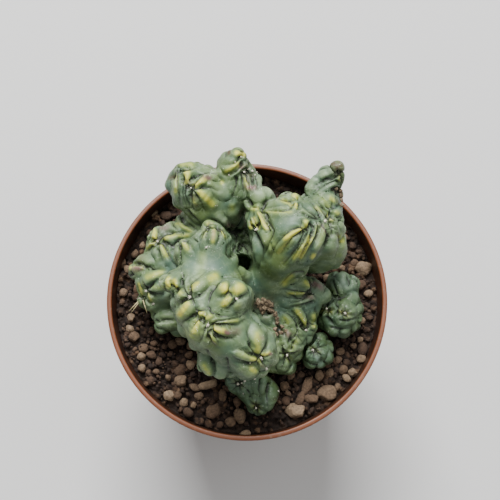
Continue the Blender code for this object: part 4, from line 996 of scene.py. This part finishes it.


# Living skin, coated by the plant itself: a matte blue-green wax bloom over a green skin, rubbed yellow along
# the crests, with purple sun blush, corky brown scars and fine pale stomata. Painted shade darkens the creases
# and the sides turned away from the light above, and the paler crests carry a painted highlight over their
# bloom.
skinLook = {
    "base": "#506b58",
    "sunned": "#627644",
    # painted shade on the sides turned away from the light above
    "flankShade": "#34441f",
    "shade": "#3c5443",
    # paler crests: bloom with a painted highlight
    "pale": "#94a878",
    "lime": "#869846",
    "yellow": "#d6d052",
    # painted shade in the creases
    "creaseShade": "#161c0a",
    "blush": "#7d4f58",
    "scar": "#4b3222",
    "bloom": "#a3b893",
    "speck": "#dfe3d2",
    "roughness": 0.46,
    "ior": 1.44,
    "veins": (5.0, 3.4),  # mm: how coarsely the net of pale veins is bent, and its mesh
    "stomata": 0.9,  # mm apart, far coarser than real ones so that they show
    "patterns": {
        "broad": (14.0, 4.0, 0.55), "fine": (1.6, 6.0, 0.7), "mottle": (3.2, 5.0, 0.65),
        "cloud": (6.0, 5.0, 0.6), "patch": (4.0, 4.0, 0.55), "bark": (1.1, 6.0, 0.8),
        "drift": (7.0, 4.0, 0.55), "spray": (3.0, 4.0, 0.55), "grain": (0.35, 2.0, 0.55),
    },
    "layers": [
        ("sunned", [("broad", 0.35, 0.65, 0.0, 1.0)], 1.0),
        # painted shade over the sides turned away from the light above
        ("flankShade", [("flankShade",)], 0.66),
        ("shade", [("mottle", 0.45, 0.7, 0.0, 1.0)], 0.5),
        ("bloom", [("cloud", 0.5, 0.75, 0.0, 1.0)], 0.35),
        # paler crests: bloom with a painted highlight
        ("pale", [("crest",), ("fine", 0.3, 0.7, 0.25, 1.0)], 0.75),
        ("bloom", [("bloom",), ("patch", 0.3, 0.6, 0.0, 1.0)], 1.0),
        ("lime", [("warm",), ("fine", 0.25, 0.6, 0.75, 1.1)], (0.04, 0.6, 0.0, 0.85)),
        ("yellow", [("warm",), ("fine", 0.25, 0.6, 0.75, 1.1)], (0.35, 1.15, 0.0, 1.0)),
        ("blush", [("blush",), ("fine", 0.35, 0.55, 0.5, 1.0)], 1.0),
        ("scar", [("scar",), ("bark", 0.35, 0.55, 0.4, 1.0)], 1.0),
        # painted shade in the creases
        ("creaseShade", [("creaseShade",)], (0.12, 0.7, 0.0, 0.95)),
        ("bloom", [("veinNet", 0.0, 0.05, 1.0, 0.0), ("drift", 0.45, 0.6, 0.0, 1.0)], 0.3),
        ("speck", [("dots", 0.12, 0.22, 1.0, 0.0), ("spray", 0.5, 0.62, 0.0, 1.0),
                   ("crest", 0.0, 0.4, 0.4, 1.0)], 0.85),
    ],
}
offsetLook = dict(skinLook, base="#48644f", sunned="#586c42", pale="#788d6c", lime="#7f8a4e", bloom="#8ea294")


def waxySkin(name, look):
    material, shader = newMaterial(name, look["roughness"], look["ior"])
    where = addNode(material, "ShaderNodeTexCoord").outputs["Object"]
    bend, mesh = look["veins"]
    bent = addNode(material, "ShaderNodeTexNoise", {"Scale": 1000 / bend, "Detail": 2.0}, {"Vector": where})
    settings = {"operation": "SCALE", "Scale": 0.004}
    sway = addNode(material, "ShaderNodeVectorMath", settings, {0: bent.outputs["Color"]}).outputs["Vector"]
    moved = addNode(material, "ShaderNodeVectorMath", {"operation": "ADD"}, {0: where, 1: sway})
    settings = {"feature": "DISTANCE_TO_EDGE", "Scale": 1000 / mesh}
    net = addNode(material, "ShaderNodeTexVoronoi", settings, {"Vector": moved.outputs["Vector"]})
    settings = {"Scale": 1000 / look["stomata"], "Randomness": 1.0}
    dots = addNode(material, "ShaderNodeTexVoronoi", settings, {"Vector": where})
    sources = {"veinNet": net.outputs["Distance"], "dots": dots.outputs["Distance"]}
    colour = layColours(material, look, sources)
    low, high = look["roughness"] - 0.08, look["roughness"] + 0.14
    settings = {"From Min": 0.3, "From Max": 0.7, "To Min": low, "To Max": high}
    rough = addNode(material, "ShaderNodeMapRange", settings, {"Value": sources["fine"]}).outputs["Result"]
    settings = {"data_type": "FLOAT", 0: 0.3}
    grain = addNode(material, "ShaderNodeMix", settings, {2: sources["fine"], 3: sources["grain"]}).outputs[0]
    bump = addNode(material, "ShaderNodeBump", {"Strength": 0.35, "Distance": 0.35 * mm}, {"Height": grain})
    for source, socket in ((colour, "Base Color"), (rough, "Roughness"), (bump.outputs["Normal"], "Normal")):
        material.node_tree.links.new(source, shader.inputs[socket])
    return material


waxySkinMaterial = waxySkin("waxBloomedCactusSkin", skinLook)
offsetSkinMaterial = waxySkin("waxBloomedOffsetSkin", offsetLook)

cactusBody, cactusTree = growPlant("cactusSkin", "cactus", cactusLimbs, feet["cactus"], cactusPads, 5,
                                   waxySkinMaterial, creases, skinTints)
offsetPlans = [
    ("offsetRightSkin", "offset_right", offsetRightLimbs, "offsetRight", offsetRightPads, 6),
    ("offsetFrontRightSkin", "offset_front_right", offsetFrontRightLimbs, "offsetFrontRight",
     offsetFrontRightPads, 7),
    ("offsetFrontSkin", "offset_front", offsetFrontLimbs, "offsetFront", offsetFrontPads, 8),
]
plantTrees = [cactusTree]
for title, node, limbs, foot, pads, seed in offsetPlans:
    plantTrees.append(growPlant(title, node, limbs, feet[foot], pads, seed, offsetSkinMaterial,
                                offsetCreases, offsetTints, cactusBody)[1])

# Areoles: frame x and y and size in mm of each felt tuft and corky lump, and the few spines, base to tip.
areoles = {
    "places": [
        (215, 206, 1.0), (244, 172, 0.7), (248, 169, 0.8), (252, 171, 0.8), (256, 173, 0.7), (255, 175, 0.5),
        (235, 162, 0.5), (241, 157, 0.5), (229, 175, 0.5), (136.5, 281, 0.8), (146, 291, 0.8), (140, 299, 1.3),
        (153.5, 303.5, 0.9), (206.5, 247.5, 0.7), (210, 247, 0.7), (133, 268, 0.5), (157.5, 241.5, 0.8),
        (190, 297, 0.9), (236.5, 299, 0.8), (208, 325, 0.9), (261, 358, 0.9), (266, 368, 0.8), (271, 353, 0.5),
        (256.5, 229.5, 0.9), (325, 221, 0.9), (306, 330, 0.8), (287, 355, 0.8), (208, 177, 0.5),
        (191, 188, 0.6), (250, 363, 0.5), (327, 308.5, 0.8), (345, 313, 0.8), (313, 350, 0.8), (238, 384, 0.9),
        (224, 384, 0.6), (242, 383, 0.6), (248, 382, 0.6), (262, 385, 0.6), (262, 391, 0.6), (244, 393, 0.6),
        (240, 401, 0.6), (240, 406, 0.6), (272, 413, 0.6), (278, 391, 0.6), (256, 408, 0.7),
    ],
    "tuft": (1.3, 0.42, 0.25, 0.09),  # times the listed size: the tuft, and of that its ball, spread and hair
    "hairs": 16,
    "wool": "#ebe5d4",
    "knobs": [
        (259, 302, 1.6), (263, 300, 1.7), (267, 302, 1.6), (270, 305, 1.4), (261, 306, 1.5), (265, 307, 1.6),
        (269, 309, 1.3), (272, 311, 1.1), (275, 314, 1.0), (263, 311, 1.2), (277, 319, 1.0), (277, 323, 0.9),
        (282, 327, 0.9), (275, 329, 0.8), (276, 334, 1.0), (281, 333, 0.9), (286, 331, 0.8), (340, 191, 0.9),
        (343, 195, 1.0), (342, 200, 0.9), (336, 189, 0.7), (341, 205, 0.8),
    ],
    "raised": 0.2,  # how far a knob's middle stands off the skin, in radii
    "cork": {
        "base": "#46382a",
        "worn": "#a39072",
        "patterns": {"grain": (0.9, 6.0, 0.75)},
        "layers": [("worn", [("grain", 0.42, 0.66, 0.0, 1.0)], 1.0)],
    },
    "spines": [(140, 299, 129, 311, 0.26), (140, 300, 131, 313, 0.22), (143, 300, 147, 313, 0.2)],
    "spine": "#cdbf8e",
}


def thorn(shape, base, tip, radius, sides):
    along = tip - base
    turn = along.to_track_quat("Z", "Y").to_matrix().to_4x4()
    place = Matrix.Translation(base + along / 2) @ turn
    bmesh.ops.create_cone(shape, cap_ends=True, segments=sides, radius1=radius, radius2=radius * 0.12,
                          depth=along.length, matrix=place)


def nearestSeat(x, y):  # on whichever plant the line of sight meets first
    found = []
    for tree in plantTrees:
        place, normal, _, distance = tree.ray_cast(sight["eye"], sightRay(x, y))
        if place is not None and place.z > soilLevel:
            found.append((distance, place, normal))
    if found:
        return min(found, key=lambda item: item[0])[1:]
    return seatOn(cactusTree, x, y)


def buildAreoles(values):
    rng = random.Random(11)
    wool, spines, knobs = bmesh.new(), bmesh.new(), bmesh.new()
    scale, ball, spread, hair = values["tuft"]
    for x, y, size in values["places"]:
        place, normal = nearestSeat(x, y)
        size = size * scale
        bmesh.ops.create_icosphere(wool, subdivisions=1, radius=size * ball, matrix=Matrix.Translation(place))
        for _ in range(values["hairs"]):
            lean = Vector([rng.gauss(0, 1) for _ in range(3)]) * 0.6 + normal
            start = place + Vector([rng.uniform(-1, 1) for _ in range(3)]) * size * spread
            thorn(wool, start, start + lean.normalized() * size * rng.uniform(0.5, 0.9), size * hair, 3)
    for x1, y1, x2, y2, radius in values["spines"]:
        base, normal = nearestSeat(x1, y1)
        tip = sight["eye"] + sightRay(x2, y2) * ((base - sight["eye"]).length - 1.5)
        thorn(spines, base, tip, radius, 8)
    for x, y, radius in values["knobs"]:
        place, normal = nearestSeat(x, y)
        shift = Vector([rng.uniform(0, 40) for _ in range(3)])
        matrix = Matrix.Translation(place + normal * radius * values["raised"])
        made = bmesh.ops.create_icosphere(knobs, subdivisions=3, radius=radius, matrix=matrix)
        for vertex in made["verts"]:
            out = vertex.co - matrix.translation
            swell = 0.5 * noise.noise(out / 0.9 + shift) + 0.2 * noise.noise(out / 0.35 + shift)
            vertex.co = matrix.translation + out * (0.85 + swell)
    cork, shader = newMaterial("corkyScarTissue", 0.9, 1.5)  # dry brown bark, paler in a fine random grain
    cork.node_tree.links.new(layColours(cork, values["cork"], {}), shader.inputs["Base Color"])
    felt, _ = newMaterial("areoleFelt", 0.95, 1.5, values["wool"])  # short dull wool, off-white to the eye
    horn, _ = newMaterial("drySpine", 0.45, 1.5, values["spine"])  # straw-coloured, a little shiny
    finishPiece("corkKnobs", meshFrom(knobs, "corkKnobs"), cork)
    finishPiece("areoleWool", meshFrom(wool, "areoleWool"), felt)
    finishPiece("spines", meshFrom(spines, "spines"), horn)


buildAreoles(areoles)

# The pot: a moulded profile turned round the axis, radius and height in mm, with a rounded lip. Its
# polypropylene has an even terracotta colour with a satin sheen, scuffed paler in places and dusted with soil
# in others. Painted shade darkens its inner wall above the soil.
pot = {
    "profile": [
        (0, 0), (33, 0), (35.8, 0.15), (36.7, 0.5), (37.05, 1.2), (49.1, 76.9), (49.2, 77.6), (49.35, 77.95),
        (49.7, 78), (50.6, 78), (50.85, 78.1), (50.95, 78.4), (52.4, 90.6), (52.5, 91.3), (52.42, 91.7),
        (52.2, 91.93), (51.85, 92), (51.2, 92), (50.9, 91.93), (50.7, 91.7), (50.6, 91.2), (49.4, 80.6),
        (49.3, 80.1), (48.9, 79.8), (47.8, 79.4), (47.5, 78.8), (35.9, 3.2), (35.4, 2.3), (34.6, 2), (0, 2),
    ],
    "steps": 180,
    "holes": (6, 24.0, 4.0),  # how many, the radius of their circle, their own radius
    "inner": (50.65, 78.5),  # the wall with painted shade lies inside this radius and above this height
    "sharp": math.radians(40),
    "base": "#703d20",
    "worn": "#804e35",
    "dust": "#7d6552",
    # painted shade on the inner wall
    "innerWallShade": "#2c1a10",
    "patterns": {"scuff": (9.0, 6.0, 0.7), "grit": (1.4, 3.0, 0.5)},
    "layers": [
        ("worn", [("scuff", 0.5, 0.8, 0.0, 0.6)], 1.0),
        ("dust", [("grit", 0.6, 0.72, 0.0, 0.5)], 1.0),
        # painted shade on the inner wall, varied a little by the scuff pattern
        ("innerWallShade", [("inside",), ("scuff", 0.3, 0.6, 0.7, 1.0)], 1.0),
    ],
}


def buildPot(values):
    shape = bmesh.new()
    ring = [shape.verts.new((r, 0, z)) for r, z in values["profile"]]
    edges = [shape.edges.new(pair) for pair in zip(ring[:-1], ring[1:])]
    bmesh.ops.spin(shape, geom=ring + edges, cent=(0, 0, 0), axis=(0, 0, 1), angle=math.tau,
                   steps=values["steps"], use_merge=True)
    bmesh.ops.remove_doubles(shape, verts=shape.verts[:], dist=0.01)
    bmesh.ops.recalc_face_normals(shape, faces=shape.faces[:])
    count, circle, radius = values["holes"]
    cutters = bmesh.new()
    for index in range(count):
        angle = math.tau * (index + 0.5) / count
        place = Matrix.Translation((circle * math.cos(angle), circle * math.sin(angle), 1))
        bmesh.ops.create_cone(cutters, cap_ends=True, segments=48, radius1=radius, radius2=radius, depth=6,
                              matrix=place)
    mesh = cutAway(meshFrom(shape, "potShell"), cutters)
    places = placesOf(mesh)
    # The inner wall above the soil is marked for painted shade.
    within, above = values["inner"]
    inside = (np.hypot(places[:, 0], places[:, 1]) < within) & (places[:, 2] > above)
    paint(mesh, "inside", inside.astype(float))
    material, shader = newMaterial("mouldedTerracottaPolypropylene", 0.42, 1.49)
    sources = {}
    colour = layColours(material, values, sources)
    settings = {"To Min": 0.36, "To Max": 0.55}
    rough = addNode(material, "ShaderNodeMapRange", settings, {"Value": sources["scuff"]}).outputs["Result"]
    material.node_tree.links.new(colour, shader.inputs["Base Color"])
    material.node_tree.links.new(rough, shader.inputs["Roughness"])
    piece = finishPiece("potShell", mesh, material, "pot")
    piece.data.set_sharp_from_angle(angle=values["sharp"])


buildPot(pot)

# The potting mix: a rough dark bed and loose gravel on it. The big stones are the ones that stand out in the
# photograph, at frame x, y with width and depth there, and the rest are strewn.
soil = {
    "radius": 49.7,
    "cuts": 260,
    "skirt": (6.0, 0.955),  # how far the edge turns down out of sight, and how far in
    "bigStones": [
        (364, 268, 17, 13), (355, 262, 8, 8), (361, 358, 9, 8), (353, 372, 9, 9), (308, 385, 11, 19),
        (327, 393, 18, 17), (300, 398, 8, 15), (312, 399, 15, 9), (296, 411, 20, 15), (284, 386, 9, 9),
        (154, 212, 9, 9), (121, 263, 9, 12), (131, 318, 8, 9), (134, 337, 10, 12), (144, 348, 10, 8),
        (190, 346, 9, 8), (173, 345, 9, 9), (181, 381, 13, 12), (209, 384, 22, 8), (222, 395, 8, 12),
        (169, 396, 10, 12), (214, 411, 16, 15), (240, 416, 12, 14), (246, 435, 12, 9),
    ],
    "lie": (0.9, 0.012, 9.0, 1.2),  # below the level, its slope, and the size and height of its swells
    "crumbs": ((3.2, 0.62), (1.5, 0.6)),  # spacing and width of the coarse and the fine ones
    "stones": 1500,
    "large": 170,
    "strewn": 49.2,  # how far out, less its own size, a stone may lie
    "largeSize": (1.1, 2.1),
    "smallSize": (0.5, 0.2, 0.4, 1.6),  # middle, skew, spread and most
    "shapes": 24,
    "facets": 14,
    "facetReach": (0.62, 0.88),
    "spans": ((0.85, 1.3), (0.75, 1.1), (0.55, 0.85)),  # a stone's width, depth and height over its size
    "bed": ["#24170e", "#332318", "#4a3525", "#634b36", "#786049"],
    "bedGrain": (1.2, 0.5, 0.5),  # mm: fleck, grain and how deep the grain is
    "gravel": ["#2b1c12", "#3f2c1f", "#553f2e", "#6e5742", "#8a735a", "#a89074"],
    "gravelGrain": (0.8, 0.7, 0.7),
}


def soilHeight(x, y):
    below, slope, swell, most = soil["lie"]
    rough = noise.fractal(Vector((x, y, 3.0)) / swell, 0.9, 2.1, 4)
    return soilLevel - below - slope * y - slope * x + max(-most, min(most, rough))


def crumbs(x, y):  # how far the crumbs of soil stand up here, and the tone of the nearest
    sway = Vector((noise.noise(Vector((x, y, 7)) / 2), noise.noise(Vector((x, y, 9)) / 2), 0)) * 0.6
    place = Vector((x, y, 0.5)) + sway
    (coarse, coarseWidth), (fine, fineWidth) = soil["crumbs"]
    far, near = noise.voronoi(place / coarse)
    small, close = noise.voronoi(place / fine + Vector((7, 7, 7)))
    keep = noise.cell(near[0] * 5.0)
    rise = max(0.0, 1 - (far[0] / coarseWidth) ** 2) ** 0.5 * (0.5 + 1.5 * keep)
    rise += max(0.0, 1 - (small[0] / fineWidth) ** 2) ** 0.5 * 0.55
    rough = noise.fractal(Vector((x, y, 1)) / 0.9, 0.8, 2.1, 3) * 0.22
    tone = 0.35 * noise.cell(near[0] * 9.0) + 0.3 * noise.cell(close[0] * 7.0) + 0.2 * rise
    return rise + rough - 0.9, tone


def stoneShapes(values, detail, seed):  # unit stones, each a ball flattened against random planes
    rng = random.Random(seed)
    shapes = []
    for _ in range(values["shapes"]):
        ball = bmesh.new()
        bmesh.ops.create_icosphere(ball, subdivisions=detail, radius=1.0)
        shift = Vector([rng.uniform(0, 40) for _ in range(3)])
        planes = [(Vector([rng.gauss(0, 1) for _ in range(3)]).normalized(), rng.uniform(*values["facetReach"]))
                  for _ in range(values["facets"])]
        places = []
        for vertex in ball.verts:
            place = vertex.co.copy()
            for normal, reach in planes:
                place -= normal * max(0.0, place.dot(normal) - reach) * 0.95
            places.append(place * (1.15 + 0.12 * noise.noise(vertex.co * 2.6 + shift)))
        shapes.append(places)
        ball.free()
    return shapes


def gravelStone(shape, layer, places, place, size, turn, tone, detail):
    made = bmesh.ops.create_icosphere(shape, subdivisions=detail, radius=1.0)["verts"]
    matrix = Matrix.Translation(place) @ Matrix.Rotation(turn, 4, "Z") @ Matrix.Diagonal((*size, 1))
    for vertex, local in zip(made, places):
        vertex.co = matrix @ local
        vertex[layer] = tone


def tonedMaterial(name, roughness, ior, colours, sizes):
    material, shader = newMaterial(name, roughness, ior)
    links = material.node_tree.links
    where = {"Vector": addNode(material, "ShaderNodeTexCoord").outputs["Object"]}
    tone = addNode(material, "ShaderNodeAttribute", {"attribute_name": "tone"}).outputs["Fac"]
    ramp = addNode(material, "ShaderNodeValToRGB", None, {"Fac": tone})
    stops = ramp.color_ramp.elements
    while len(stops) < len(colours):
        stops.new(0.5)
    for index, colour in enumerate(colours):
        stops[index].position = index / (len(colours) - 1)
        stops[index].color = linear(colour)
    settings = {"Scale": 1000 / sizes[0], "Detail": 5.0, "Roughness": 0.7}
    fleck = addNode(material, "ShaderNodeTexNoise", settings, where)
    settings = {"From Min": 0.32, "From Max": 0.68, "To Min": 0.5, "To Max": 1.35}
    light = addNode(material, "ShaderNodeMapRange", settings, {"Value": fleck.outputs["Fac"]})
    shade = addNode(material, "ShaderNodeHueSaturation", None,
                    {"Color": ramp.outputs["Color"], "Value": light.outputs["Result"]})
    settings = {"Scale": 1000 / sizes[1], "Detail": 6.0, "Roughness": 0.75}
    grain = addNode(material, "ShaderNodeTexNoise", settings, where)
    settings = {"Strength": 1.0, "Distance": sizes[2] * mm}
    bump = addNode(material, "ShaderNodeBump", settings, {"Height": grain.outputs["Fac"]})
    links.new(shade.outputs["Color"], shader.inputs["Base Color"])
    links.new(bump.outputs["Normal"], shader.inputs["Normal"])
    return material


def buildSoil(values):
    shape = bmesh.new()
    layer = shape.verts.layers.float.new("tone")
    cuts, radius = values["cuts"], values["radius"]
    bmesh.ops.create_grid(shape, x_segments=cuts, y_segments=cuts, size=1.0)
    for vertex in shape.verts:  # the square is drawn in to a disc
        x, y = vertex.co.x, vertex.co.y
        across, along = x * math.sqrt(1 - y * y / 2), y * math.sqrt(1 - x * x / 2)
        x, y = across * radius, along * radius
        rise, tone = crumbs(x, y)
        vertex.co = (x, y, soilHeight(x, y) + rise * 1.25)
        vertex[layer] = tone
    edge = [item for item in shape.edges if len(item.link_faces) == 1]
    lower = bmesh.ops.extrude_edge_only(shape, edges=edge)["geom"]
    drop, inward = values["skirt"]
    for item in lower:
        if isinstance(item, bmesh.types.BMVert):
            item.co = (item.co.x * inward, item.co.y * inward, soilLevel - drop)
    rim = [item for item in lower if isinstance(item, bmesh.types.BMEdge)]
    bmesh.ops.holes_fill(shape, edges=rim, sides=0)
    bmesh.ops.recalc_face_normals(shape, faces=shape.faces[:])
    # Peat and grit: crumbly, very dark and quite dull.
    mix = tonedMaterial("screenedPeatAndGrit", 0.95, 1.5, values["bed"], values["bedGrain"])
    finishPiece("soilBed", meshFrom(shape, "soilBed"), mix, "soil")

    rng = random.Random(31)
    gravel = bmesh.new()
    layer = gravel.verts.layers.float.new("tone")
    taken = []
    shapes = {detail: stoneShapes(values, detail, detail) for detail in (1, 2, 3)}
    for x, y, wide, deep in values["bigStones"]:
        place = rayAt(x, y, soilLevel)
        scale = (place - sight["eye"]).length / sight["focal"]
        place.z = soilHeight(place.x, place.y) + 0.6
        wide, deep = wide * scale / 2, deep * scale / 2
        gravelStone(gravel, layer, rng.choice(shapes[3]), place, (wide, deep, min(wide, deep) * 0.75),
                    rng.uniform(-0.3, 0.3), rng.uniform(0.5, 0.9), 3)
        taken.append((place.x, place.y, max(wide, deep)))
    count = 0
    while count < values["stones"]:
        x, y = rng.uniform(-49, 49), rng.triangular(-49, 49, -30)
        if count < values["large"]:
            size = rng.uniform(*values["largeSize"])
        else:
            middle, skew, spread, most = values["smallSize"]
            size = min(most, middle * math.exp(rng.gauss(skew, spread)))
        if math.hypot(x, y) > values["strewn"] - size:
            continue
        if any(math.hypot(x - a, y - b) < (c + size) * 0.85 for a, b, c in taken):
            continue
        if any(math.hypot(x - foot[0], y - foot[1]) < max(foot[2:]) + size for foot in feet.values()):
            continue
        count += 1
        large = size > 1.1
        place = Vector((x, y, soilHeight(x, y) + size * 0.3))
        if large:
            taken.append((x, y, size))
        tone = rng.uniform(0.3, 0.85) if size > 1.25 else rng.uniform(0, 0.55) ** 1.2
        detail = 2 if large else 1
        unit = rng.choice(shapes[detail])
        sizes = [size * rng.uniform(*span) for span in values["spans"]]
        gravelStone(gravel, layer, unit, place, sizes, rng.uniform(0, math.tau), tone, detail)
    # Washed gravel: dull stone in tans and browns, with fine pits.
    stone = tonedMaterial("washedGravel", 0.85, 1.54, values["gravel"], values["gravelGrain"])
    finishPiece("gravel", meshFrom(gravel, "gravel"), stone)


buildSoil(soil)
